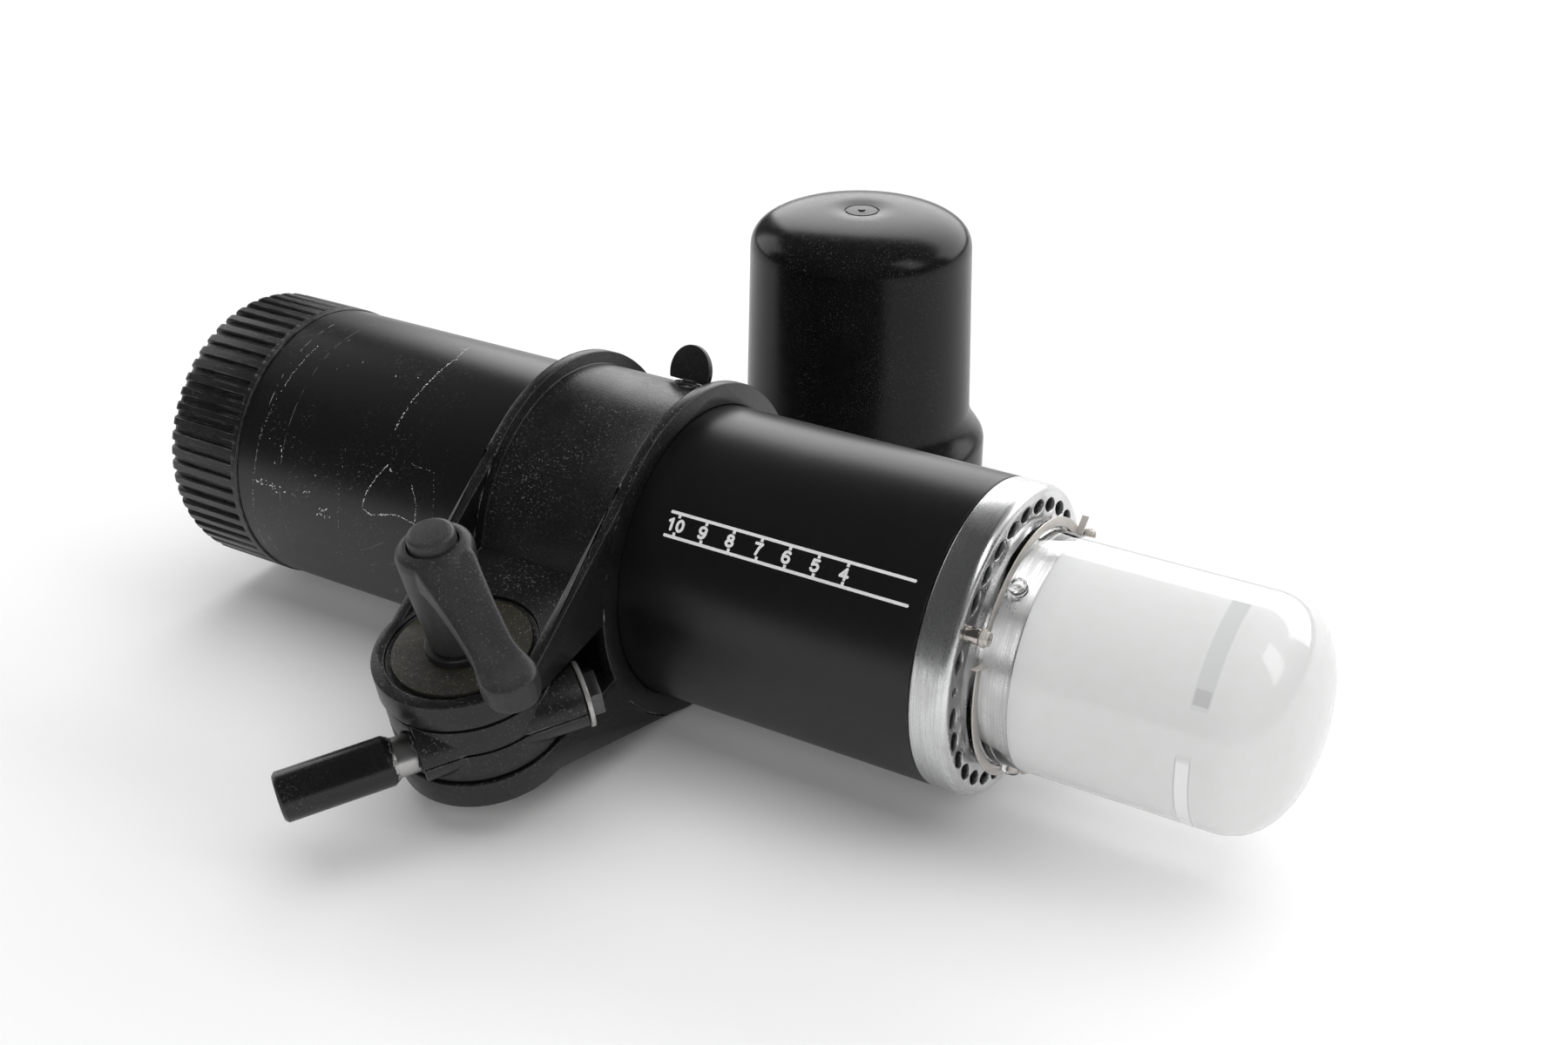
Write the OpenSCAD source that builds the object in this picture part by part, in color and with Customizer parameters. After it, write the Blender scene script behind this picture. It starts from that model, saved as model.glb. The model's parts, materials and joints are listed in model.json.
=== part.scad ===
// Studio flash head with tilting stand bracket and transport cap.
// +X runs along the body towards the glass dome, +Z is up, and the bracket stands on the -Y side.
// The origin lies on the body axis, where the black tube meets the polished front ring.

/* [Body tube] */
// Outside diameter of the body tube, which is also the reflector seat
tube_d = 100; // [98:0.5:102]
// Wall of the body tube
tube_wall = 1.5; // [1.2:0.1:2]
// Length of the body tube
tube_len = 269; // [262:1:280]

/* [Front ring] */
// Length of the polished ring in front of the tube
ring_len = 12; // [12:0.5:15]
// Corner radius of the ring's front edge
ring_round = 3; // [1:0.5:4]
// Wall of the ring's outer band
ring_wall = 2.6; // [2:0.1:3]
// Thickness of the slotted front face
ring_face = 3; // [2:0.5:4]
// Length of the spigot that enters the tube
ring_spigot = 8; // [5:1:12]
// Radius of the circle of cooling slots
slot_circle_r = 43.7; // [43.5:0.1:44]
// Width of a cooling slot along the radius
slot_w = 4.8; // [3:0.1:5]
// Length of a cooling slot round the ring
slot_l = 8; // [5:0.1:8.2]
// Places round the ring, of which three carry glass posts
slot_places = 30; // [24:3:30]

/* [Glass dome] */
// Outside radius of the dome
dome_r = 37.2; // [36:0.1:38]
// Wall of the glass
dome_wall = 2.2; // [1.8:0.1:3]
// Reach of the dome in front of the origin
dome_reach = 108; // [100:1:115]
// Length of the rounded end
dome_end = 23; // [18:1:26]
// Radius of the collar that the clips hold
collar_r = 39.4; // [39.2:0.1:39.8]
// Thickness of that collar
collar_t = 2.6; // [2:0.1:3.5]

/* [Glass clips] */
// Angle of the first glass post from -Y towards +Z
post_angle = 31; // [20:1:40]
// Radius of a post
post_r = 2.5; // [2.2:0.1:3]
// Height of a post above the ring
post_h = 4.6; // [3.6:0.1:5]
// Thickness of a leaf spring
leaf_t = 0.5; // [0.4:0.1:0.7]
// Width of a leaf spring
leaf_w = 3; // [2.4:0.1:3.2]
// Sweep of a leaf spring round the glass, in degrees
leaf_sweep = 108; // [95:1:110]
// Angle from a post to its glass nib, in degrees
nib_angle = 26; // [20:1:34]
// Radius of a glass nib
nib_r = 2.8; // [2.4:0.1:3]

/* [Lamps] */
// Radius of the ring of the flash tube
flash_ring_r = 26; // [24:0.5:27]
// Radius of the flash tube's glass
flash_glass_r = 4.2; // [3.5:0.1:4.5]
// Place of the flash ring along the body
flash_x = 26; // [24:1:32]
// Radius of the modelling lamp's bulb
lamp_r = 15.5; // [13:0.5:17]
// Place of the tip of the modelling lamp
lamp_tip = 86; // [75:1:92]
// Radius of the ceramic lamp socket
socket_r = 18.5; // [17.5:0.5:19.5]

/* [Power parts] */
// Radius of a storage capacitor
cap_r = 17; // [14:0.5:17.5]
// Length of a storage capacitor
cap_len = 92; // [70:1:94]
// Distance of the capacitors from the body axis
cap_circle_r = 26; // [25.5:0.5:28]
// Width of the square cooling fan
fan_w = 60; // [56:1:62]
// Depth of the cooling fan
fan_depth = 15; // [12:1:18]
// Number of fan blades
fan_blades = 7; // [5:1:9]
// Radius of the tie rods
rod_r = 2; // [1.5:0.1:2.5]
// Distance of the tie rods from the body axis
rod_circle_r = 42.5; // [42:0.5:43]

/* [Rear ring] */
// Length of the ribbed ring
rear_len = 34; // [30:1:38]
// Radius over its ribs
rear_r = 50.6; // [50.6:0.1:51.5]
// Depth of the grooves between the ribs
rib_depth = 1.6; // [1:0.1:2]
// Number of ribs
rib_count = 56; // [40:1:60]
// Radius of the recess that holds the control panel
panel_r = 45.6; // [44:0.1:46.2]
// Depth of the panel below the ring's rear edge
panel_recess = 10; // [7:0.5:12]
// Thickness of the panel
panel_t = 3; // [2:0.5:4]

/* [Controls] */
// Diameter of the two dials
dial_d = 23; // [18:0.5:24]
// Height of the dials
dial_h = 8; // [5:0.5:9]
// Width of the mains inlet's cavity
inlet_w = 24.5; // [24:0.5:26]
// Height of the mains inlet's cavity
inlet_h = 16.5; // [16:0.5:17]
// Depth of the mains inlet's cavity
inlet_depth = 17; // [16:0.5:19]
// Swing of the power rocker between its two ends, in degrees
rocker_swing = 16; // [10:1:20]
// Radius of the test button
button_r = 4; // [3:0.5:4.5]

/* [Cradle] */
// Length of the cradle along the tube
cradle_len = 56.5; // [56:0.5:58]
// Place of its front face
cradle_front = -103.5; // [-112:0.5:-98]
// Radial running clearance on the tube
cradle_clear = 0.08; // [0.05:0.01:0.1]
// Wall of the cradle's band
band_wall = 3; // [2.5:0.1:4]
// Radius of the two flanges
flange_r = 57.5; // [56.5:0.5:59]
// Thickness of the flanges and webs
web_t = 4; // [3:0.5:5]
// Roll of the bracket about the body axis, in degrees
bracket_roll = 12; // [6:1:16]
// Distance from the body axis to the tilt pivot
pivot_dist = 90; // [88:0.5:94]
// Thickness of an ear of the tilt joint
ear_t = 9.5; // [8:0.5:11]
// Gap between the two ears
ear_gap = 23; // [22:0.5:25]

/* [Swivel and stud] */
// Radius of the swivel disc
swivel_r = 27.4; // [26:0.2:28]
// Running gap between swivel and ears
swivel_clear = 0.5; // [0.3:0.1:0.8]
// Gap between the halves of the swivel
seam = 0.3; // [0.2:0.1:0.5]
// Angle of the stud from straight out towards the rear, in degrees
stud_angle = 37.8; // [30:0.2:45]
// Distance from the pivot to the axis of the cross barrel
barrel_offset = 15.8; // [15.6:0.1:16.2]
// Outside radius of the cross barrel
barrel_r = 10; // [9:0.5:10.2]
// Radius of the stand stud
stud_r = 8; // [7.8:0.1:8.2]
// Length of the stud's full thickness
stud_len = 33.7; // [28:0.1:40]
// Radius of the shank inside the barrel
shank_r = 6; // [5.5:0.1:6.5]
// Radial running clearance of shanks and bolts
fit_clear = 0.06; // [0.03:0.01:0.1]

/* [Clamp lever] */
// Radius of the clamp bolt
bolt_r = 5; // [4.5:0.1:5.5]
// Reach of the bolt's end below the plane of the swivel
bolt_drop = 38.5; // [34:0.5:40]
// Height of the lever's hub above the plane of the swivel
hub_top = 60; // [56:0.5:64]
// Radius of the hub's top
hub_r = 12; // [11:0.5:13]
// Radius of the hub's foot
hub_foot_r = 9.2; // [8:0.2:10]
// Reach of the lever arm from the pivot
lever_reach = 52; // [45:1:56]
// Direction of the lever arm from +X, in degrees about the pivot
lever_angle = -28.6; // [-40:0.2:-20]

/* [Thumbscrew] */
// Radius of the coin-shaped head
coin_r = 9; // [8:0.5:10]
// Thickness of that head
coin_t = 1.8; // [1.4:0.1:2.4]
// Place of the screw behind the cradle's front face
coin_back = 17; // [15:0.5:22]
// Lean of the screw from straight up, away from the bracket, in degrees
coin_lean = 20; // [6:1:26]
// Turn of the screw from face-on to the bracket's side, in degrees
coin_turn = 34; // [0:1:60]

/* [Transport cap] */
// Inside radius of the cap above its skirt
cap_inside_r = 43; // [42:0.1:43.4]
// Loss of radius from the skirt to the cap's top
cap_draft = 1.8; // [0:0.1:2]
// Wall of the cap
cap_wall = 2.6; // [2:0.1:3.2]
// Outside radius of the cap's skirt
skirt_r = 52; // [51.5:0.1:53.5]
// Height of the skirt
skirt_h = 34; // [30:1:38]
// Height of the cap
cap_h = 124; // [116:1:128]
// Place of the cap's axis along the body
cap_x = -134; // [-150:1:-110]
// Distance of the cap's axis from the body axis
cap_y = 161; // [150:1:175]

/* [Hidden] */

$fn = 64;
// Overshoot of a cut past the face that it opens
cut = 1;
// Clearance where a fixed piece enters a hole
fit = 0.1;

tube_r = tube_d / 2;
bore_r = tube_r - tube_wall;

// Bevel on both edges where the tube meets the front ring
joint_bevel = 0.6;

// Front ring
seat_r = dome_r + 0.4;
ledge_r = seat_r - 3;
ledge_x = ring_len - 6;
ledge_t = 2;
dish_t = 0.8;
dish_rim_x = flash_x + 2;

// Glass clips: the post stands on the ring's face and carries the leaf, which runs behind the nib
post_top = ring_len + post_h;
leaf_r = dome_r + 1;
nib_x = post_top + leaf_t + nib_r + 0.1;
nib_out = 3;
// Overlap of the leaf's strip with the eye under the screw, in degrees
leaf_turn = 3;
// Place of the one round hole among the slots, counted from the first post
hole_place = 2;
hole_r = 1.6;

// Inner structure
bulkhead_x = -26;
bulkhead_t = 2;
bulkhead_r = bore_r - fit;
fan_x = bulkhead_x - fan_depth;
cap_front = fan_x - 1;
plate_t = 2;
cap_plate_x = cap_front - cap_len - plate_t;
rear_x = -tube_len - rear_len;
panel_x = rear_x + panel_recess;
panel_face = panel_x + panel_t;
rod_len = bulkhead_x - panel_face;
rod_angles = [0, 90, 180, 270];
cap_angles = [45, 135, 225, 315];
board_z = -12;
board_w = 76;
board_len = cap_plate_x - panel_face - 30;
board_x = cap_plate_x - board_len;
board_t = 1.6;

// Control panel places, as [y, z]
dial_place = [[-20, 14], [20, 14]];
inlet_place = [0, -25];
rocker_place = [-27, -11];
fuse_places = [[27, -7], [27, -21]];
button_place = [0, 11];
sync_place = [0, -5];
photocell_place = [0, 33];
ready_places = [[-5, 23], [5, 23]];
rocker_w = 12;
rocker_l = 18;
rocker_pin_r = 1.5;
frame_wall = 2;
screw_r = 1.5;

// Tilt joint
h_in = ear_gap / 2;
h_out = h_in + ear_t;
cradle_rear = cradle_front - cradle_len;
pivot_x = cradle_front - cradle_len / 2;
ear_r = cradle_len / 2;
band_r = tube_r + cradle_clear + band_wall;
washer_recess = 1.6;
washer_t = 1.4;
washer_r = 22;
collar_h = 3;
swivel_h = h_in - swivel_clear;
// Height of the boss that carries the thumbscrew
boss_h = 1;
stud_neck = 9.3;
// The barrel starts where its axis enters the disc and ends just past the disc's far side
barrel_foot = sqrt(swivel_r * swivel_r - barrel_offset * barrel_offset);
barrel_len = barrel_foot + swivel_r + 2.2;
neck_r = shank_r + 0.4;
neck_relief = 0.6;
stud_washer_r = 10.7;
stud_washer_t = 1.5;
nut_t = 4;
nut_r = 8;
clamp_nut_t = 8;
clamp_washer_t = 1.6;
// Material of the lever above the end of its bolt
lever_roof = 16;
floor_z = -flange_r;

// Transport cap
cap_foot_r = cap_inside_r + cap_wall;
cap_top_r = cap_foot_r - cap_draft;
crown = 4;
crown_round = 10;

// Puts a child that is drawn along +Z onto the body axis, pointing to +X
module along_x(x = 0) {
    translate([x, 0, 0]) rotate([0, 90, 0]) children();
}

// Moves a child from the pivot's own frame, with +Z along the pivot, to its place
module at_pivot() {
    rotate([bracket_roll, 0, 0]) translate([pivot_x, -pivot_dist, 0]) children();
}

// Turns a child drawn along +X into the direction from stud to barrel end, at the barrel's foot
module at_barrel() {
    at_pivot() rotate([0, 0, 90 - stud_angle]) translate([0, -barrel_offset, 0]) children();
}

// A disc along +X
module disc_x(x, t, r) {
    along_x(x) cylinder(h = t, r = r);
}

// A hole along +X through a plate that starts at x
module hole_x(x, t, r) {
    along_x(x - cut) cylinder(h = t + 2 * cut, r = r);
}

// A place on the rear panel, where the child's +Z points out of the panel
module on_panel(place) {
    translate([panel_x, place[0], place[1]]) rotate([0, -90, 0]) children();
}

// A flat bar with round ends, along X, centred
module round_bar(l, w, h) {
    for (side = [-1, 1]) translate([side * (l - w) / 2, 0, 0]) cylinder(h = h, d = w);
    translate([-(l - w) / 2, -w / 2, 0]) cube([l - w, w, h]);
}

module body_tube() {
    color("#141414") along_x() rotate_extrude() polygon([
        [bore_r, -tube_len], [tube_r, -tube_len], [tube_r, -joint_bevel],
        [tube_r - joint_bevel, 0], [bore_r, 0]
    ]);
}

module ring_profile() {
    rr = ring_round;
    difference() {
        union() {
            translate([tube_r - ring_wall, 0]) square([ring_wall, ring_len]);
            translate([bore_r - fit - 2, -ring_spigot]) square([2, ring_spigot + 1]);
            translate([seat_r, ring_len - ring_face]) square([tube_r - seat_r, ring_face]);
            translate([seat_r, ledge_x]) square([2.2, ring_len - ledge_x]);
            translate([ledge_r, ledge_x - ledge_t]) square([seat_r + 2.2 - ledge_r, ledge_t]);
        }
        translate([tube_r - rr, ring_len - rr]) difference() {
            square(rr + cut);
            circle(r = rr);
        }
        polygon([
            [tube_r - joint_bevel, 0], [tube_r - joint_bevel, -cut], [tube_r + cut, -cut],
            [tube_r + cut, joint_bevel], [tube_r, joint_bevel]
        ]);
    }
}

// Outline of a cooling slot, pointed at both ends, with its length along Y
function slot_outline(n) = [
    for (i = [0 : n - 1]) let (a = 360 * i / n, c = cos(a), d = sin(a))
        [slot_w / 2 * sign(c) * pow(abs(c), 1.2), slot_l / 2 * sign(d) * pow(abs(d), 1.2)]
];

module cooling_ring() {
    pitch = 360 / slot_places;
    color("#c9ccd0") difference() {
        along_x() rotate_extrude($fn = 128) ring_profile();
        for (i = [0 : slot_places - 1]) {
            rotate([180 - post_angle + i * pitch, 0, 0]) translate([0, slot_circle_r, 0]) {
                if (i == hole_place) {
                    hole_x(ring_len - ring_face, ring_face, hole_r);
                } else if (i % (slot_places / 3) != 0) {
                    translate([ring_len - ring_face - cut, 0, 0]) rotate([90, 0, 90])
                        linear_extrude(ring_face + 2 * cut) polygon(slot_outline(16));
                }
            }
        }
    }
}

module reflector_dish() {
    throat_r = socket_r + 1.5;
    rim_r = dome_r - dome_wall - 0.5;
    color("#d8dadd") difference() {
        along_x() rotate_extrude() polygon([
            [throat_r, 0], [rim_r - dish_t, ledge_x], [seat_r - fit, ledge_x], [seat_r - fit, ledge_x + dish_t],
            [rim_r, ledge_x + dish_t], [rim_r, dish_rim_x], [rim_r - dish_t, dish_rim_x],
            [rim_r - dish_t, ledge_x + dish_t], [throat_r, dish_t + 0.4]
        ]);
        for (side = [-1, 1]) rotate([90 + side * 14, 0, 0])
            translate([-cut, flash_ring_r, 0]) rotate([0, 90, 0]) cylinder(h = ledge_x + 3 * cut, r = flash_glass_r + 0.5);
    }
}

// One quarter of a superellipse from the tip to the wall, as [radius, x] points
function end_curve(r, x_wall, reach, n) = [
    for (i = [0 : n]) let (a = 90 * i / n)
        [r * pow(sin(a), 2 / 2.3), x_wall + reach * pow(cos(a), 2 / 2.3)]
];

module glass_dome() {
    foot_x = ledge_x + dish_t;
    wall_x = dome_reach - dome_end;
    inner_r = dome_r - dome_wall;
    inner = end_curve(inner_r, wall_x, dome_end - dome_wall, 12);
    outer = end_curve(dome_r, wall_x, dome_end, 12);
    color("#f4f5f6") {
        along_x() rotate_extrude($fn = 96) polygon(concat(outer, [
            [dome_r, ring_len + collar_t], [collar_r, ring_len + collar_t], [collar_r, ring_len],
            [dome_r, ring_len], [dome_r, foot_x], [inner_r, foot_x]
        ], [for (i = [len(inner) - 1 : -1 : 0]) inner[i]]));
        for (i = [0 : 2]) rotate([180 - post_angle - nib_angle + i * 120, 0, 0])
            translate([nib_x, dome_r - dome_wall / 2, 0]) rotate([-90, 0, 0]) cylinder(h = dome_wall / 2 + nib_out, r = nib_r);
    }
}

// The three places round the ring that hold the glass, with +Y pointing out
module post_places() {
    for (i = [0 : 2]) rotate([180 - post_angle + i * 120, 0, 0]) translate([0, slot_circle_r, 0]) children();
}

module glass_posts() {
    color("#b9b3a2") post_places() disc_x(ring_len, post_top - ring_len, post_r);
}

module glass_springs() {
    tab_h = 5;
    color("#cfd0d2") post_places() difference() {
        union() {
            disc_x(post_top, leaf_t, post_r + 0.4);
            translate([0, -slot_circle_r, 0]) {
                along_x(post_top) rotate([0, 0, 90 - leaf_sweep]) rotate_extrude(angle = leaf_sweep + leaf_turn)
                    translate([leaf_r, 0]) square([leaf_w, leaf_t]);
                rotate([-leaf_sweep, 0, 0]) translate([post_top, leaf_r + leaf_w - leaf_t, -leaf_t])
                    cube([tab_h, leaf_t, 4]);
            }
        }
        hole_x(post_top, leaf_t, screw_r + fit);
    }
}

module post_screws() {
    head_x = post_top + leaf_t;
    color("#c4c6c8") post_places() difference() {
        union() {
            disc_x(head_x, 1.2, 2.8);
            disc_x(head_x + 1.2, 1.1, 2.2);
            disc_x(head_x - leaf_t, leaf_t + 0.3, screw_r);
        }
        for (turn = [0, 90]) rotate([turn, 0, 0]) translate([head_x + 1.3, -1.6, -0.4]) cube([2, 3.2, 0.8]);
    }
}

module flash_tube() {
    leg_angle = 14;
    color("#e9ecee") {
        rotate([0, 90, 0]) translate([0, 0, flash_x]) rotate([0, 0, 180 + leg_angle])
            rotate_extrude(angle = 360 - 2 * leg_angle) translate([flash_ring_r, 0]) circle(r = flash_glass_r, $fn = 32);
        for (side = [-1, 1]) rotate([90 + side * leg_angle, 0, 0]) translate([0, flash_ring_r, 0]) {
            translate([flash_x, 0, 0]) sphere(r = flash_glass_r + 0.2, $fn = 32);
            disc_x(-6, flash_x + 6, flash_glass_r);
        }
    }
}

module flash_tube_sockets() {
    start = bulkhead_x + bulkhead_t;
    color("#efe9dc") for (side = [-1, 1]) rotate([90 + side * 14, 0, 0]) translate([0, flash_ring_r, 0])
        disc_x(start, -6 - start, flash_glass_r + 2);
}

module modelling_lamp() {
    glass_x = 14;
    color("#f0efe8") {
        disc_x(-8, 10, 12.4);
        disc_x(2, glass_x - 2, 13.4);
        along_x() rotate_extrude() polygon(concat(
            [[0, glass_x], [12, glass_x], [lamp_r, glass_x + 6]],
            [for (i = [0 : 8]) let (a = 90 * i / 8) [lamp_r * cos(a), lamp_tip - lamp_r + lamp_r * sin(a)]]
        ));
    }
}

module lamp_socket() {
    start = bulkhead_x + bulkhead_t;
    color("#efe9dc") difference() {
        disc_x(start, -1 - start, socket_r);
        along_x(-8) cylinder(h = 8 + cut, r = 12.4 + fit);
    }
}

module front_bulkhead() {
    color("#a9adb0") difference() {
        disc_x(bulkhead_x, bulkhead_t, bulkhead_r);
        for (a = rod_angles) rotate([a, 0, 0]) translate([0, rod_circle_r, 0]) hole_x(bulkhead_x, bulkhead_t, rod_r + fit);
        for (a = [0 : 45 : 315]) rotate([a + 22.5, 0, 0]) translate([0, 36, 0]) hole_x(bulkhead_x, bulkhead_t, 4);
    }
}

module tie_rods() {
    color("#b8babc") for (a = rod_angles) rotate([a, 0, 0]) translate([0, rod_circle_r, 0])
        disc_x(panel_face, rod_len + bulkhead_t, rod_r);
}

module capacitor_plate() {
    color("#3a3c3e") difference() {
        disc_x(cap_plate_x, plate_t, bulkhead_r);
        for (a = rod_angles) rotate([a, 0, 0]) translate([0, rod_circle_r, 0]) hole_x(cap_plate_x, plate_t, rod_r + fit);
        hole_x(cap_plate_x, plate_t, 8);
    }
}

module capacitors() {
    color("#27425e") for (a = cap_angles) rotate([a, 0, 0]) translate([0, cap_circle_r, 0]) {
        along_x(cap_plate_x + plate_t) rotate_extrude() polygon([
            [0, 0], [cap_r, 0], [cap_r, cap_len - 5], [cap_r - 0.8, cap_len - 4],
            [cap_r, cap_len - 3], [cap_r, cap_len], [0, cap_len]
        ]);
    }
}

module circuit_board() {
    color("#2f6b3c") translate([board_x, -board_w / 2, board_z]) cube([board_len, board_w, board_t]);
}

module board_parts() {
    top = board_z + board_t;
    color("#404448") {
        translate([board_x + 8, -30, top]) cube([4, 60, 24]);
        for (i = [0 : 3]) translate([board_x + 13, -24 + i * 14, top]) cube([5, 10, 15]);
        for (i = [0 : 2]) translate([board_x + 26, -22 + i * 22, top]) cylinder(h = 18, r = 6);
    }
}

module transformer() {
    start = cap_plate_x - 32;
    color("#8a5a34") {
        translate([start, -22, board_z + board_t]) cube([30, 44, 30]);
        translate([start + 5, -26, board_z + board_t + 5]) cube([20, 52, 20]);
    }
}

module fan_frame() {
    color("#1e1f20") difference() {
        translate([fan_x, -fan_w / 2, -fan_w / 2]) cube([fan_depth, fan_w, fan_w]);
        difference() {
            along_x(fan_x + 2) cylinder(h = fan_depth, r = fan_w / 2 - 2);
            disc_x(fan_x, 5, 12);
        }
        for (a = [0 : 90 : 270]) rotate([a + 45, 0, 0]) translate([fan_x - cut, 14, -8]) cube([4 + cut, 13, 16]);
    }
}

module fan_rotor() {
    start = fan_x + 5.4;
    color("#2a2b2c") {
        disc_x(start, 8, 12);
        for (i = [0 : fan_blades - 1]) rotate([360 / fan_blades * i, 0, 0]) translate([start + 4, 11, 0])
            rotate([0, 32, 0]) translate([-3.6, 0, -0.6]) cube([7.2, 15, 1.2]);
    }
}

module rear_profile() {
    er = 3;
    difference() {
        union() {
            translate([panel_r + fit, 0]) square([rear_r - panel_r - fit, panel_recess + panel_t + 1]);
            translate([panel_r - 4, panel_recess + panel_t]) square([rear_r - panel_r + 4, 4]);
            translate([bore_r - fit - 3, panel_recess + panel_t]) square([rear_r - bore_r + fit + 3, rear_len - panel_recess - panel_t]);
            translate([bore_r - fit - 3, rear_len - 1]) square([3, 10]);
        }
        translate([rear_r - er, er]) rotate([0, 0, -90]) difference() {
            square(er + cut);
            circle(r = er);
        }
    }
}

module rear_ring() {
    pitch = 360 / rib_count;
    color("#111111") difference() {
        along_x(rear_x) rotate_extrude($fn = 128) rear_profile();
        for (i = [0 : rib_count - 1]) rotate([i * pitch, 0, 0])
            translate([rear_x - cut, rear_r - rib_depth, -1.3]) cube([rear_len - 3 + cut, rib_depth + cut, 2.6]);
        for (a = rod_angles) rotate([a, 0, 0]) translate([0, rod_circle_r, 0])
            hole_x(panel_face, 4, rod_r + fit);
    }
}

module rear_panel() {
    color("#1b1c1d") difference() {
        disc_x(panel_x, panel_t, panel_r);
        translate([panel_x - cut, inlet_place[0] - inlet_w / 2 - frame_wall - fit, inlet_place[1] - inlet_h / 2 - frame_wall - fit])
            cube([panel_t + 2 * cut, inlet_w + 2 * (frame_wall + fit), inlet_h + 2 * (frame_wall + fit)]);
        translate([panel_x - cut, rocker_place[0] - rocker_w / 2 - frame_wall - fit, rocker_place[1] - rocker_l / 2 - frame_wall - fit])
            cube([panel_t + 2 * cut, rocker_w + 2 * (frame_wall + fit), rocker_l + 2 * (frame_wall + fit)]);
        translate([0, button_place[0], button_place[1]]) hole_x(panel_x, panel_t, button_r + 0.3);
        translate([0, sync_place[0], sync_place[1]]) hole_x(panel_x, panel_t, 3 + fit);
        for (p = dial_place) translate([0, p[0], p[1]]) hole_x(panel_x, panel_t, 3 + fit_clear);
        for (a = rod_angles) rotate([a, 0, 0]) translate([0, rod_circle_r, 0]) hole_x(panel_x, panel_t, screw_r + fit);
    }
}

module panel_screws() {
    color("#5a5c5e") for (a = rod_angles) rotate([a, 0, 0]) translate([0, rod_circle_r, 0]) difference() {
        union() {
            disc_x(panel_x - 1.6, 1.6, 2.8);
            disc_x(panel_x, panel_t, screw_r);
        }
        for (turn = [0, 90]) rotate([turn, 0, 0]) translate([panel_x - 2.6, -1.8, -0.4]) cube([2, 3.6, 0.8]);
    }
}

module mains_inlet() {
    w = inlet_w + 2 * frame_wall;
    h = inlet_h + 2 * frame_wall;
    color("#0e0e0e") translate([panel_x, inlet_place[0], inlet_place[1]]) difference() {
        union() {
            translate([-2, -w / 2 - 2, -h / 2 - 1.5]) cube([2, w + 4, h + 3]);
            translate([-1, -w / 2, -h / 2]) cube([inlet_depth + 3, w, h]);
        }
        translate([-2 - cut, -inlet_w / 2, -inlet_h / 2]) cube([inlet_depth + cut, inlet_w, inlet_h]);
    }
}

module inlet_pins() {
    pin_len = 10;
    color("#b9b9b4") translate([panel_x + inlet_depth - 2 - pin_len, inlet_place[0], inlet_place[1]])
        for (p = [[-7, -2], [0, 2], [7, -2]]) translate([0, p[0] - 1, p[1] - 2]) cube([pin_len, 2, 4]);
}

module fuse_caps() {
    color("#121212") for (p = fuse_places) on_panel(p) difference() {
        cylinder(h = 4, r = 5.6);
        translate([-4, -0.6, 3]) cube([8, 1.2, 2]);
    }
}

module switch_frame() {
    w = rocker_l + 2 * frame_wall;
    h = rocker_w + 2 * frame_wall;
    color("#121212") on_panel(rocker_place) difference() {
        union() {
            translate([-w / 2 - 1, -h / 2 - 1, 0]) cube([w + 2, h + 2, 1.6]);
            translate([-w / 2, -h / 2, -10]) cube([w, h, 11]);
        }
        translate([-rocker_l / 2, -rocker_w / 2, -8.5]) cube([rocker_l, rocker_w, 12]);
        rotate([90, 0, 0]) cylinder(h = rocker_w + 2.4, r = rocker_pin_r + fit_clear, center = true, $fn = 32);
    }
}

module power_rocker() {
    color("#7e1d16") on_panel(rocker_place) rotate([0, -rocker_swing / 2, 0]) rotate([90, 0, 0]) {
        translate([0, 0, -rocker_w / 2 + 0.4]) linear_extrude(rocker_w - 0.8)
            polygon([[-7.6, 0.6], [-7.6, 2.8], [0, 1.9], [7.6, 2.8], [7.6, 0.6], [2.4, -6], [-2.4, -6]]);
        cylinder(h = rocker_w + 2, r = rocker_pin_r, center = true, $fn = 32);
    }
}

// A knurled dial with a pointer groove and a shaft through the panel
module dial(place) {
    on_panel(place) difference() {
        union() {
            translate([0, 0, 0.5]) cylinder(h = dial_h - 0.5, r = dial_d / 2 - 1);
            translate([0, 0, 0.5]) cylinder(h = 2, r = dial_d / 2);
            translate([0, 0, -panel_t - 4]) cylinder(h = panel_t + 5, r = 3);
        }
        for (i = [0 : 23]) rotate([0, 0, i * 15]) translate([dial_d / 2 - 1, 0, 2.5]) cylinder(h = dial_h, r = 0.7, $fn = 16);
        translate([2, -0.6, dial_h - 0.8]) cube([dial_d, 1.2, 2]);
    }
}

module flash_dial() {
    color("#1d1e20") dial(dial_place[0]);
}

module lamp_dial() {
    color("#1d1e20") dial(dial_place[1]);
}

module test_button() {
    color("#9b1c14") on_panel(button_place) {
        translate([0, 0, -panel_t]) cylinder(h = panel_t + 3, r = button_r);
        translate([0, 0, -panel_t - 1.4]) cylinder(h = 1, r = button_r + 1);
        translate([0, 0, -panel_t - 1]) cylinder(h = 1.2, r = button_r - 1);
    }
}

module sync_socket() {
    color("#a8aaac") on_panel(sync_place) difference() {
        union() {
            cylinder(h = 2, r = 5, $fn = 6);
            translate([0, 0, -12]) cylinder(h = 14.6, r = 3);
        }
        translate([0, 0, -11]) cylinder(h = 15, r = 1.8);
    }
}

module photocell() {
    color("#3a1012") on_panel(photocell_place) intersection() {
        translate([0, 0, -1]) sphere(r = 5);
        cylinder(h = 6, r = 6);
    }
}

module ready_lamps() {
    color("#2f8a3a") for (p = ready_places) on_panel(p) {
        cylinder(h = 1, r = 2.2);
        translate([0, 0, 1]) intersection() {
            sphere(r = 1.8);
            cylinder(h = 3, r = 2);
        }
    }
}

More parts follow.
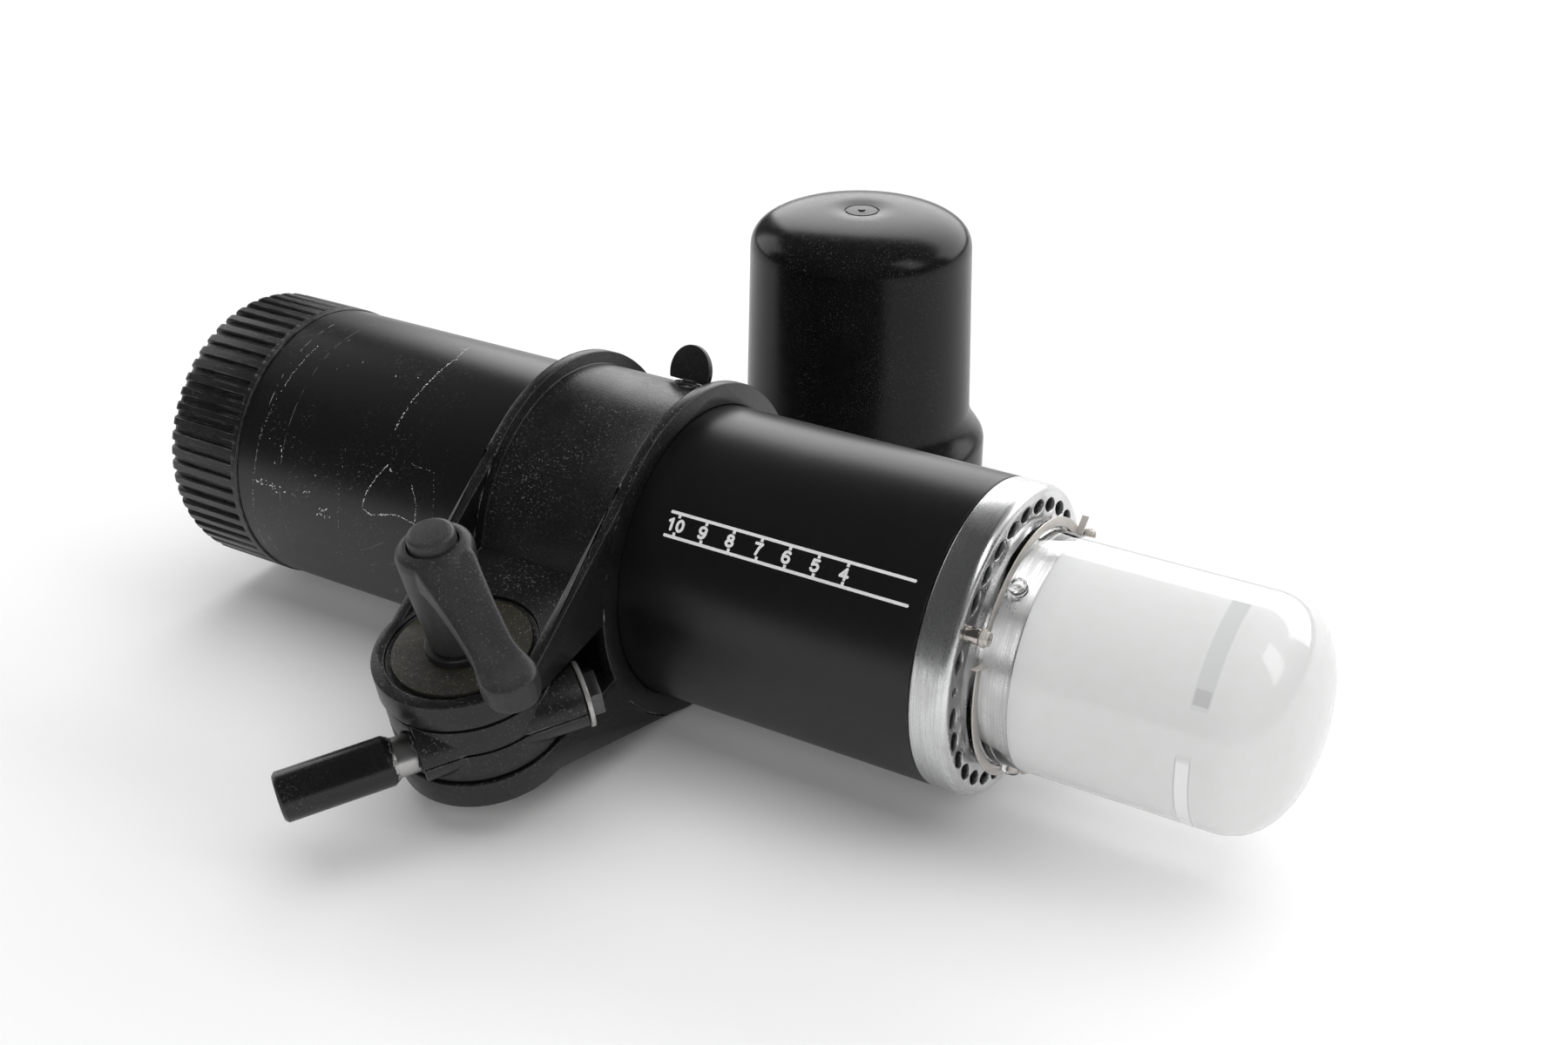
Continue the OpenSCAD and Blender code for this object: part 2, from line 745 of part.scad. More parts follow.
// Side outline of a web of the fork, in the rolled frame: [distance out, height]
function web_outline(side) = let (
    inside_r = flange_r - 0.6,
    root_r = (band_r + flange_r) / 2,
    slope = atan2(inside_r - h_out, pivot_dist),
    first = asin(h_in / root_r),
    last = 90 - slope
) concat(
    [[inside_r * sin(slope), inside_r * cos(slope) * side], [pivot_dist, h_out * side], [pivot_dist, h_in * side]],
    [for (i = [0 : 6]) let (a = first + (last - first) * i / 6) [root_r * cos(a), root_r * sin(a) * side]]
);

// Section of the flat plate between the webs, rooted in the wall of the band
function plate_outline(side) = let (root_r = band_r - band_wall / 2) [
    [pivot_dist, h_out * side], [pivot_dist, h_in * side],
    [sqrt(root_r * root_r - h_in * h_in), h_in * side], [sqrt(root_r * root_r - h_out * h_out), h_out * side]
];

// Extrudes a section of the bracket along the body, from x
module bracket_section(x, length) {
    rotate([bracket_roll, 0, 0]) translate([x, 0, 0]) rotate([90, 0, 90]) mirror([1, 0, 0])
        linear_extrude(length) children();
}

module cradle() {
    color("#161616") difference() {
        union() {
            disc_x(cradle_rear, cradle_len, band_r);
            for (x = [cradle_rear, cradle_front - web_t]) {
                disc_x(x, web_t, flange_r);
                for (side = [-1, 1]) bracket_section(x, web_t) polygon(web_outline(side));
            }
            for (side = [-1, 1])
                bracket_section(cradle_rear + 1, cradle_len - 2) polygon(plate_outline(side));
            at_pivot() for (base = [h_in, -h_out])
                translate([0, 0, base]) rotate([0, 0, -90]) cylinder(h = ear_t, r = ear_r, $fn = 96);
            rotate([-coin_lean, 0, 0]) translate([cradle_front - coin_back, 0, tube_r + 1])
                cylinder(h = band_wall - 1 + boss_h, r = 5);
        }
        hole_x(cradle_rear, cradle_len, tube_r + cradle_clear);
        at_pivot() {
            translate([0, 0, -h_out - cut]) cylinder(h = 2 * h_out + 2 * cut, r = bolt_r + fit_clear);
            translate([0, 0, h_out - washer_recess]) cylinder(h = washer_recess + cut, r = washer_r + 2);
        }
        rotate([-coin_lean, 0, 0]) translate([cradle_front - coin_back, 0, tube_r - 5]) cylinder(h = 20, r = 2.5 + fit_clear);
    }
}

module friction_washer() {
    color("#5c5130") at_pivot() translate([0, 0, h_out - washer_recess]) difference() {
        cylinder(h = washer_t, r = washer_r);
        translate([0, 0, -cut]) cylinder(h = washer_t + 2 * cut, r = bolt_r + fit_clear);
    }
}

module clamp_washer() {
    color("#b9bbbd") at_pivot() translate([0, 0, -h_out - clamp_washer_t]) difference() {
        cylinder(h = clamp_washer_t, r = 10.5);
        translate([0, 0, -cut]) cylinder(h = clamp_washer_t + 2 * cut, r = bolt_r + fit_clear);
    }
}

module clamp_nut() {
    color("#b9bbbd") at_pivot() translate([0, 0, -h_out - clamp_washer_t - clamp_nut_t]) difference() {
        cylinder(h = clamp_nut_t, r = 9.8, $fn = 6);
        translate([0, 0, -cut]) cylinder(h = clamp_nut_t + 2 * cut, r = bolt_r + fit_clear);
    }
}

// The swivel's disc with its cross barrel, whole
module swivel_body() {
    difference() {
        union() {
            at_pivot() translate([0, 0, -swivel_h]) cylinder(h = 2 * swivel_h, r = swivel_r, $fn = 96);
            at_barrel() disc_x(-barrel_foot, barrel_len, barrel_r);
        }
        at_pivot() translate([0, 0, -h_out]) cylinder(h = 2 * h_out, r = bolt_r + fit_clear);
        at_barrel() {
            disc_x(-barrel_foot - cut, barrel_len + 2 * cut, shank_r + fit_clear);
            disc_x(-barrel_foot - stud_neck, stud_neck, neck_r + neck_relief);
        }
    }
}

module swivel_upper() {
    color("#1a1a1a") intersection() {
        swivel_body();
        at_pivot() translate([-2 * swivel_r, -2 * swivel_r, seam / 2]) cube([4 * swivel_r, 4 * swivel_r, h_out]);
    }
}

module swivel_lower() {
    color("#181818") intersection() {
        swivel_body();
        at_pivot() translate([-2 * swivel_r, -2 * swivel_r, -h_out - seam / 2])
            cube([4 * swivel_r, 4 * swivel_r, h_out]);
    }
}

module stand_stud() {
    stud_start = -barrel_foot - stud_neck - stud_len;
    barrel_end = barrel_len - barrel_foot;
    color("#151515") at_barrel() {
        along_x(stud_start) rotate_extrude() polygon([
            [0, 0], [stud_r - 1, 0], [stud_r, 1], [stud_r, stud_len],
            [neck_r, stud_len + 2.5], [neck_r, stud_len + stud_neck - 0.4], [0, stud_len + stud_neck - 0.4]
        ]);
        disc_x(-barrel_foot - 0.5, barrel_len + 0.5 + stud_washer_t + nut_t + 0.2, shank_r);
    }
}

module stud_washer() {
    color("#c2c4c4") at_barrel() translate([barrel_len - barrel_foot + 0.3, 0, 0]) difference() {
        disc_x(0, stud_washer_t, stud_washer_r);
        hole_x(0, stud_washer_t, shank_r + fit);
    }
}

module stud_nut() {
    color("#2c2d2e") at_barrel() translate([barrel_len - barrel_foot + 0.3 + stud_washer_t, 0, 0]) difference() {
        along_x() cylinder(h = nut_t, r = nut_r, $fn = 6);
        hole_x(0, nut_t, shank_r + fit);
    }
}

module clamp_bolt() {
    color("#9c9ea0") at_pivot() translate([0, 0, -bolt_drop]) cylinder(h = bolt_drop + hub_top - lever_roof, r = bolt_r);
}

module lever_collar() {
    collar_z = h_out - washer_recess + washer_t + 0.1;
    color("#0f0f0f") at_pivot() translate([0, 0, collar_z]) difference() {
        cylinder(h = collar_h, r = 11);
        translate([0, 0, -cut]) cylinder(h = collar_h + 2 * cut, r = bolt_r + fit);
    }
}

module clamp_lever() {
    hub_base = h_out - washer_recess + washer_t + 0.1 + collar_h;
    waist_x = lever_reach / 2;
    waist_z = hub_top - 19;
    waist_r = 6;
    color("#1c1c1c") at_pivot() rotate([0, 0, lever_angle]) difference() {
        union() {
            translate([0, 0, hub_base]) cylinder(h = hub_top - hub_base, r1 = hub_foot_r, r2 = hub_r);
            hull() {
                translate([0, 0, hub_top - 15]) cylinder(h = 13, r = hub_r - 1.6, $fn = 32);
                translate([waist_x, 0, waist_z]) cylinder(h = 9, r = waist_r, $fn = 24);
                translate([waist_x, 0, waist_z + 1.5]) cylinder(h = 9, r = waist_r - 1.5, $fn = 24);
            }
            hull() {
                translate([waist_x, 0, waist_z]) cylinder(h = 9, r = waist_r, $fn = 24);
                translate([waist_x, 0, waist_z + 1.5]) cylinder(h = 9, r = waist_r - 1.5, $fn = 24);
                translate([lever_reach - 8.4, 0, 37.5]) cylinder(h = 8.5, r = 8.4, $fn = 32);
                translate([lever_reach - 8.4, 0, 35]) cylinder(h = 13, r = 6.4, $fn = 32);
            }
        }
        translate([0, 0, hub_base - cut]) cylinder(h = hub_top - lever_roof - hub_base + cut, r = bolt_r + fit);
        translate([0, 0, hub_top - 10]) cylinder(h = 12, r = 7.2);
    }
}

module lever_button() {
    color("#26282a") at_pivot() {
        translate([0, 0, hub_top - 6]) cylinder(h = 8, r = 6.9);
        translate([0, 0, hub_top + 2]) cylinder(h = 1.6, r1 = 6.9, r2 = 5.6);
    }
}

module thumbscrew() {
    boss_top = tube_r + band_wall + boss_h;
    color("#1e1e1e") rotate([-coin_lean, 0, 0]) translate([cradle_front - coin_back, 0, 0]) {
        translate([0, 0, tube_r + 0.4]) cylinder(h = boss_top - tube_r + 1, r = 2.5);
        translate([0, 0, boss_top + 0.4]) cylinder(h = 1, r = 4);
        rotate([0, 0, coin_turn]) translate([0, coin_t / 2, boss_top + coin_r + 0.6])
            rotate([90, 0, 0]) cylinder(h = coin_t, r = coin_r);
    }
}

// Half section of the cap's outer skin, as [radius, height], for a wall's thickness taken off
function cap_outline(w) = let (
    lip = skirt_h - 3,
    round_r = crown_round - w,
    top_r = cap_top_r - w,
    base = w > 0 ? -cut : 0
) concat(
    [
        [0, base], [skirt_r - w, base], [skirt_r - w, lip - w], [skirt_r - w - 1.6, lip + 2.4 - w],
        [cap_foot_r - w + 1.2, lip + 8 - w], [cap_foot_r - w, lip + 12]
    ],
    [for (i = [0 : 6]) let (a = 15 * i) [top_r - round_r * (1 - cos(a)), cap_h - crown - crown_round + round_r * sin(a)]],
    [[top_r / 2, cap_h - 1.4 - w], [0, cap_h - w]]
);

module transport_cap() {
    color("#101010") translate([cap_x, cap_y, floor_z]) rotate_extrude($fn = 96) difference() {
        polygon(cap_outline(0));
        polygon(cap_outline(cap_wall));
    }
}

body_tube();
cooling_ring();
reflector_dish();
glass_dome();
glass_posts();
glass_springs();
post_screws();
flash_tube();
flash_tube_sockets();
modelling_lamp();
lamp_socket();
front_bulkhead();
tie_rods();
capacitor_plate();
capacitors();
circuit_board();
board_parts();
transformer();
fan_frame();
fan_rotor();
rear_ring();
rear_panel();
panel_screws();
mains_inlet();
inlet_pins();
fuse_caps();
switch_frame();
power_rocker();
flash_dial();
lamp_dial();
test_button();
sync_socket();
photocell();
ready_lamps();
cradle();
friction_washer();
clamp_washer();
clamp_nut();
swivel_upper();
swivel_lower();
stand_stud();
stud_washer();
stud_nut();
clamp_bolt();
clamp_lever();
lever_collar();
lever_button();
thumbscrew();
transport_cap();
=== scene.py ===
"""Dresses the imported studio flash: finishes for every part, finer pieces, a pale floor, soft light and a camera."""

import json
import logging
import math
import random
from dataclasses import dataclass, field
from enum import Enum

import bpy
from mathutils import Matrix, Vector


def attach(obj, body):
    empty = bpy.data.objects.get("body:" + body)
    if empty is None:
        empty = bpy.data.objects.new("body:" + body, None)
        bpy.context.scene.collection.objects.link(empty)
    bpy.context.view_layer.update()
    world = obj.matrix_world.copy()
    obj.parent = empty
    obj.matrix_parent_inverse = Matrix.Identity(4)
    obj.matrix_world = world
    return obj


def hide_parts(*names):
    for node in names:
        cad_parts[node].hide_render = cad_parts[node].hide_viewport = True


LOG = logging.getLogger("studio_flash")
MM = 0.001
FLOOR = -57.5
MERGE = 1e-6
FLAT_ANGLE = 0.4
Colour = tuple[float, float, float, float]
Point = tuple[float, float]
Place = tuple[float, float, float]
Line = tuple[Vector, Vector]
Obj = bpy.types.Object
Socket = bpy.types.NodeSocket
Mark = tuple[Socket, Colour, float]
BODY_LINE = (Vector((0, 0, 0)), Vector((1, 0, 0)))
PIVOT_LINE = (Vector((-0.13175, -0.0880333, -0.0187121)), Vector((0.0, -0.2079117, 0.9781476)))
BARREL_LINE = (Vector((-0.1192656, -0.0975056, -0.0207255)), Vector((0.6129071, 0.7728882, 0.1642825)))

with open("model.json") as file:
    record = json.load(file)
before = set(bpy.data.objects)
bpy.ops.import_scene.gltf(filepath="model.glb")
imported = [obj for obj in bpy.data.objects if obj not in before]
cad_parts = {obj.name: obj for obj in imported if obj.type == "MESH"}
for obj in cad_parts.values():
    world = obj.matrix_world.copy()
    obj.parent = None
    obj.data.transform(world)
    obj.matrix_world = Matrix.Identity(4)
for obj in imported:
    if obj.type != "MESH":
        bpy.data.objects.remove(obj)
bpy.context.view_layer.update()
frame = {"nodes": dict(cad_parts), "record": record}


class Axis(Enum):
    """The line round which a profile is turned."""

    ALONG_BODY = (1.0, 0.0, 0.0)
    UPRIGHT = (0.0, 0.0, 1.0)


class Body(Enum):
    """The moving bodies that finer pieces ride on."""

    HOUSING = "housing"
    CRADLE = "cradle"
    SWIVEL = "swivel"
    STUD = "stud"
    LEVER = "lever"
    LEVER_KEY = "lever_key"
    LOCK_SCREW = "lock_screw"
    TRAVEL_CAP = "travel_cap"
    ROCKER = "rocker"
    FLASH_KNOB = "flash_knob"
    LAMP_KNOB = "lamp_knob"
    TEST_KEY = "test_key"


def grey(value: float, warm: float = 0.0) -> Colour:
    """A grey, warmer for a positive second number and cooler for a negative one."""
    return (value * (1 + warm), value, value * (1 - warm), 1.0)


def moved(x: float, y: float, z: float) -> Matrix:
    """A move, in millimetres."""
    return Matrix.Translation((x * MM, y * MM, z * MM))


def turned(degrees: float, axis: str = "X") -> Matrix:
    """A turn round one of the axes."""
    return Matrix.Rotation(math.radians(degrees), 4, axis)


def clear() -> None:
    """Deselects everything, in object mode."""
    if bpy.context.object is not None and bpy.context.object.mode != "OBJECT":
        bpy.ops.object.mode_set(mode="OBJECT")
    bpy.ops.object.select_all(action="DESELECT")


def select_mesh() -> None:
    """Selects the whole mesh in edit mode."""
    bpy.ops.mesh.select_all(action="SELECT")


def apply_place() -> None:
    """Applies the place, turn and size of the selected object to its mesh."""
    bpy.ops.object.transform_apply(location=True, rotation=True, scale=True)


def take(obj: Obj) -> None:
    """Makes one object the selected and active one.

    Args:
        obj: The object to work on.
    """
    clear()
    obj.select_set(True)
    bpy.context.view_layer.objects.active = obj


def edit(obj: Obj) -> None:
    """Opens an object in edit mode with all of it selected.

    Args:
        obj: The object to open.
    """
    take(obj)
    bpy.ops.object.mode_set(mode="EDIT")
    select_mesh()


def named(name: str) -> Obj:
    """Names the active object and its mesh, and leaves edit mode.

    Args:
        name: The new name.

    Returns:
        The active object.
    """
    if bpy.context.object.mode != "OBJECT":
        bpy.ops.object.mode_set(mode="OBJECT")
    obj = bpy.context.object
    obj.name = obj.data.name = name
    return obj


def held(name: str, data: bpy.types.ID) -> Obj:
    """Puts a mesh, light or camera into the scene.

    Args:
        name: Name of the new object.
        data: What the object holds.

    Returns:
        The new object.
    """
    obj = bpy.data.objects.new(name, data)
    bpy.context.scene.collection.objects.link(obj)
    return obj


def sized(size: Point | Place, place: Place = (0.0, 0.0, 0.0)) -> Obj:
    """Gives the new primitive its size and place in its mesh.

    Args:
        size: Size along X and Y, and along Z on a solid, in millimetres.
        place: Its middle, in millimetres.

    Returns:
        The primitive.
    """
    scale = [length * MM for length in size] + [1.0] * (4 - len(size))
    bpy.context.object.data.transform(moved(*place) @ Matrix.Diagonal(scale))
    return bpy.context.object


def outward(name: str) -> Obj:
    """Turns every face of the mesh in edit mode outwards and names the piece.

    Args:
        name: The piece's name.

    Returns:
        The piece, in object mode.
    """
    select_mesh()
    bpy.ops.mesh.normals_make_consistent(inside=False)
    return named(name)


def lathe(name: str, profile: list[Point], steps: int, axis: Axis = Axis.ALONG_BODY) -> Obj:
    """Turns a profile into a round piece.

    Args:
        name: Name of the piece.
        profile: Points as (place along the axis, radius), in millimetres.
        steps: Number of steps in the turn.
        axis: The axis of the turn.

    Returns:
        The new object, centred on the chosen axis at the origin.
    """

    def place(point: Point) -> Vector:
        """The place of a profile point in space."""
        along, out = point[0] * MM, point[1] * MM
        return Vector((along, 0, out)) if axis is Axis.ALONG_BODY else Vector((out, 0, along))

    clear()
    bpy.ops.mesh.primitive_plane_add(size=MM, location=(0, 0, 0))
    bpy.ops.object.mode_set(mode="EDIT")
    select_mesh()
    bpy.ops.mesh.merge(type="CENTER")
    bpy.ops.transform.translate(value=place(profile[0]))
    for start, end in zip(profile, profile[1:]):
        bpy.ops.mesh.extrude_region_move(TRANSFORM_OT_translate={"value": place(end) - place(start)})
    select_mesh()
    bpy.ops.mesh.remove_doubles(threshold=MERGE)
    select_mesh()
    bpy.ops.mesh.spin(steps=steps, angle=math.tau, center=(0, 0, 0), axis=axis.value)
    select_mesh()
    bpy.ops.mesh.remove_doubles(threshold=2 * MERGE)
    return outward(name)


def soften(obj: Obj, width: float, segments: int = 2, angle: float = 34.0, clamp: bool = True) -> None:
    """Bevels the sharp edges of an object.

    Args:
        obj: The object.
        width: Width in millimetres.
        segments: Steps across the edge.
        angle: Edges sharper than this, in degrees, are bevelled.
        clamp: Whether the width is held back where short edges meet.
    """
    take(obj)
    bevel = obj.modifiers.new("soft_edges", "BEVEL")
    bevel.width = width * MM
    bevel.segments = segments
    bevel.limit_method = "ANGLE"
    bevel.angle_limit = math.radians(angle)
    bevel.use_clamp_overlap = clamp
    bpy.ops.object.modifier_apply(modifier=bevel.name)


def smooth(obj: Obj, angle: float) -> Obj:
    """Shades an object smooth, with its sharper edges kept crisp.

    Args:
        obj: The object.
        angle: Edges sharper than this, in degrees, stay crisp.

    Returns:
        The same object.
    """
    take(obj)
    bpy.ops.object.shade_smooth_by_angle(angle=math.radians(angle))
    return obj


def true_round(obj: Obj, line: Line, facet: float = 6.5, step: float = 0.04, smallest: float = 0.5) -> None:
    """Shades the faces that are turned round a line as true rounds, whatever the facets' ends meet.

    Args:
        obj: The object, in its place and already shaded smooth.
        line: A point on the line and the line's direction.
        facet: Half a facet's turn in degrees; faces that lean further off the round are left.
        step: Radii that differ by less, in millimetres, count as one.
        smallest: Smallest radius that is shaded, in millimetres.
    """
    mesh, origin, axis = obj.data, line[0], line[1].normalized()
    normals = [Vector(corner.vector) for corner in mesh.corner_normals]
    limit = math.cos(math.radians(facet))
    for polygon in mesh.polygons:
        face_out = polygon.normal - axis * polygon.normal.dot(axis)
        if face_out.length < 0.05:
            continue
        face_out.normalize()
        corners, radii = [], set()
        for loop in polygon.loop_indices:
            arm = mesh.vertices[mesh.loops[loop].vertex_index].co - origin
            arm -= axis * arm.dot(axis)
            radii.add(round(arm.length / (step * MM)))
            out = arm.normalized()
            side = 1 if out.dot(face_out) > 0 else -1
            corners.append((loop, out * side, abs(out.dot(face_out)) > limit and arm.length > smallest * MM))
        if len(radii) <= 2 and all(fits for _, _, fits in corners):
            for loop, out, _ in corners:
                lean = max(-1.0, min(1.0, normals[loop].dot(axis)))
                normals[loop] = out * math.sqrt(1 - lean * lean) + axis * lean
    mesh.normals_split_custom_set(normals)


def seat(obj: Obj, place: Matrix) -> Obj:
    """Moves an object to its place and applies that place to its mesh.

    Args:
        obj: The object, modelled at the origin.
        place: The place and turn of the piece in the row frame.

    Returns:
        The same object.
    """
    take(obj)
    obj.matrix_world = place @ obj.matrix_world
    apply_place()
    return obj


def join(name: str, parts: list[Obj]) -> Obj:
    """Joins several objects into one.

    Args:
        name: Name of the joined piece.
        parts: The objects to join.

    Returns:
        The joined object.
    """
    take(parts[0])
    for part in parts[1:]:
        part.select_set(True)
    if len(parts) > 1:
        bpy.ops.object.join()
    return named(name)


class Net:
    """A node tree, with short ways to add to it."""

    def __init__(self, tree: bpy.types.NodeTree) -> None:
        """Keeps the tree."""
        self.tree = tree

    def feed(self, node: bpy.types.Node, feeds: dict[int | str, object]) -> None:
        """Feeds inputs of a node.

        Args:
            node: The node.
            feeds: A socket or a plain value for each input.
        """
        for key, value in feeds.items():
            if isinstance(value, Socket):
                self.tree.links.new(value, node.inputs[key])
            else:
                node.inputs[key].default_value = value

    def node(self, kind: str, feeds: dict[int | str, object], operation: str = "") -> bpy.types.Node:
        """Adds a node.

        Args:
            kind: Its type, after "ShaderNode".
            feeds: A socket or a plain value for each input that is set.
            operation: What a math node does.

        Returns:
            The node.
        """
        node = self.tree.nodes.new("ShaderNode" + kind)
        if operation:
            node.operation = operation
        self.feed(node, feeds)
        return node

    def group(self, shared: "Group", **values: float) -> bpy.types.Node:
        """Places a shared group with its own values.

        Args:
            shared: The group.
            values: Value of each named input.

        Returns:
            The group's node.
        """
        node = self.node("Group", {})
        node.node_tree = shared.tree
        self.feed(node, values)
        return node

    def maths(self, operation: str, first: Socket | float, second: Socket | float = 0.0) -> Socket:
        """Adds a math node and gives its output."""
        return self.node("Math", {0: first, 1: second}, operation).outputs[0]

    def times(self, *values: Socket | float) -> Socket:
        """Multiplies sockets and numbers.

        Args:
            values: What is multiplied.

        Returns:
            The product.
        """
        product = values[0]
        for value in values[1:]:
            product = self.maths("MULTIPLY", product, value)
        return product

    def dot(self, first: Socket, second: Socket | Vector) -> Socket:
        """Adds the dot product of two vectors and gives its output."""
        return self.node("VectorMath", {0: first, 1: second}, "DOT_PRODUCT").outputs["Value"]

    def span(self, value: Socket, low: float, high: float, start: float = 0.0, end: float = 1.0) -> Socket:
        """Maps a value from one range to another, held at both ends.

        Args:
            value: The value to map.
            low: Where the input range starts.
            high: Where the input range ends.
            start: Output at the low end.
            end: Output at the high end.

        Returns:
            The mapped value.
        """
        node = self.node("MapRange", {0: value, 1: low, 2: high, 3: start, 4: end})
        node.clamp = True
        return node.outputs[0]

    def where(self) -> Socket:
        """The place on the piece, in object coordinates."""
        return self.node("TexCoord", {}).outputs["Object"]

    def along(self, axis: str) -> Socket:
        """The place on the piece along one axis."""
        return self.node("SeparateXYZ", {0: self.where()}).outputs[axis]

    def noise(self, scale: Socket | float, detail: float = 3.0, stretch: Place = (1, 1, 1)) -> Socket:
        """Adds noise on object coordinates.

        Args:
            scale: The noise's scale, per metre.
            detail: Octaves of the noise.
            stretch: Scale of the pattern along each axis.

        Returns:
            The noise value.
        """
        drawn = self.node("Mapping", {"Vector": self.where(), "Scale": stretch}).outputs[0]
        return self.node("TexNoise", {"Vector": drawn, "Scale": scale, "Detail": detail}).outputs[0]

    def mix(self, mask: Socket, first: Socket | Colour, second: Socket | Colour) -> Socket:
        """Mixes two colours by a mask.

        Args:
            mask: Where the second colour shows.
            first: A socket or a colour.
            second: A socket or a colour.

        Returns:
            The mixed colour.
        """
        node = self.node("Mix", {})
        node.data_type = "RGBA"
        self.feed(node, {0: mask, 6: first, 7: second})
        return node.outputs[2]


class Group(Net):
    """A node group that several finishes share."""

    def __init__(self, name: str, outputs: tuple[str, ...] = ("Mask",), **inputs: float) -> None:
        """Opens the group with its sockets.

        Args:
            name: Name of the group.
            outputs: Names of the number outputs.
            inputs: Number inputs with their default values.
        """
        super().__init__(bpy.data.node_groups.new(name, "ShaderNodeTree"))
        face = self.tree.interface
        for key, value in inputs.items():
            face.new_socket(key, in_out="INPUT", socket_type="NodeSocketFloat").default_value = value
        for key in outputs:
            face.new_socket(key, in_out="OUTPUT", socket_type="NodeSocketFloat")
        self.entry = self.tree.nodes.new("NodeGroupInput")
        self.exit = self.tree.nodes.new("NodeGroupOutput")

    def given(self, key: str) -> Socket:
        """The value of one of the group's inputs."""
        return self.entry.outputs[key]

    def give(self, value: Socket, key: str = "Mask") -> "Group":
        """Puts a value out of the group."""
        self.tree.links.new(value, self.exit.inputs[key])
        return self


class Masks:
    """The shared node groups that finishes draw on."""

    def __init__(self) -> None:
        """Builds each group once."""
        self.grain = self.surface_grain()
        self.wear = self.edge_wear()
        self.dust = self.fine_dust()
        self.scratches = self.hairlines()
        self.ring_line = self.rubbed_ring()

    @staticmethod
    def surface_grain() -> Group:
        """Fine grain of a moulded, painted or cast surface.

        Returns:
            The group.
        """
        net = Group("surface_grain", ("Mask", "Height"), Scale=900.0)
        fine = net.noise(net.given("Scale"), 4.0)
        broad = net.noise(net.times(net.given("Scale"), 0.06), 2.0)
        both = net.maths("ADD", net.times(fine, 0.6), net.times(broad, 0.4))
        net.give(net.span(fine, 0.3, 0.7), "Height")
        return net.give(net.span(both, 0.36, 0.64))

    @staticmethod
    def edge_wear() -> Group:
        """Rubbed edges and a painted highlight along them, broken up by noise.

        Returns:
            The group.
        """
        net = Group("edge_wear", Radius=0.0005, Amount=0.5)
        soft = net.node("Bevel", {"Radius": net.given("Radius")})
        soft.samples = 4
        edge = net.span(net.dot(soft.outputs[0], net.node("NewGeometry", {}).outputs["Normal"]), 0.995, 0.93)
        broken = net.span(net.noise(160.0, 4.0), 0.42, 0.62)
        return net.give(net.times(edge, broken, net.given("Amount")))

    @staticmethod
    def fine_dust() -> Group:
        """Dust and fine specks, more on faces that look up.

        Returns:
            The group.
        """
        net = Group("dust", Amount=0.2, Scale=1400.0)
        up = net.node("SeparateXYZ", {0: net.node("NewGeometry", {}).outputs["Normal"]}).outputs["Z"]
        upward = net.span(up, -0.4, 1.0, 0.25, 1.0)
        specks = net.span(net.noise(net.given("Scale"), 2.0), 0.6, 0.72)
        cloud = net.span(net.noise(45.0), 0.35, 0.7)
        return net.give(net.times(specks, cloud, upward, net.given("Amount")))

    @staticmethod
    def hairlines() -> Group:
        """Short hairline strokes that run several ways.

        Returns:
            The group.
        """
        net = Group("scratches", Amount=0.3, Scale=34.0)
        total = 0.0
        for turn, stretch in (
            ((0.3, 0.5, 0.2), (1.0, 34.0, 34.0)), ((1.1, 0.2, 1.3), (1.6, 40.0, 40.0)),
            ((0.6, 1.2, 2.2), (2.2, 36.0, 36.0)),
        ):
            leaned = net.node("Mapping", {"Vector": net.where(), "Rotation": turn}).outputs[0]
            drawn = net.node("Mapping", {"Vector": leaned, "Scale": stretch}).outputs[0]
            cells = net.node("TexVoronoi", {"Vector": drawn, "Scale": net.given("Scale")})
            total = net.maths("MAXIMUM", total, net.span(cells.outputs["Distance"], 0.1, 0.16, 1.0, 0.0))
        broken = net.span(net.noise(55.0), 0.48, 0.6)
        return net.give(net.times(total, broken, net.given("Amount")))

    @staticmethod
    def rubbed_ring() -> Group:
        """A thin broken line round the tube, where a clamp has rubbed.

        Returns:
            The group.
        """
        net = Group("ring_line", Place=-0.26, Width=0.0004, Amount=0.7, Wander=0.001)
        wander = net.times(net.noise(24.0), net.given("Wander"))
        away = net.maths("SUBTRACT", net.maths("ADD", net.along("X"), wander), net.given("Place"))
        near = net.maths("LESS_THAN", net.maths("ABSOLUTE", away), net.given("Width"))
        broken = net.span(net.noise(210.0, 4.0), 0.5, 0.58)
        return net.give(net.times(near, broken, net.given("Amount")))


DUST = grey(0.36, 0.04)
CHIPPED = grey(0.42, 0.05)
WORN_ROUGH = 0.1
DUST_ROUGH = 0.3
COAT_ROUGH = 0.05
BUMP_STRENGTH = 0.6


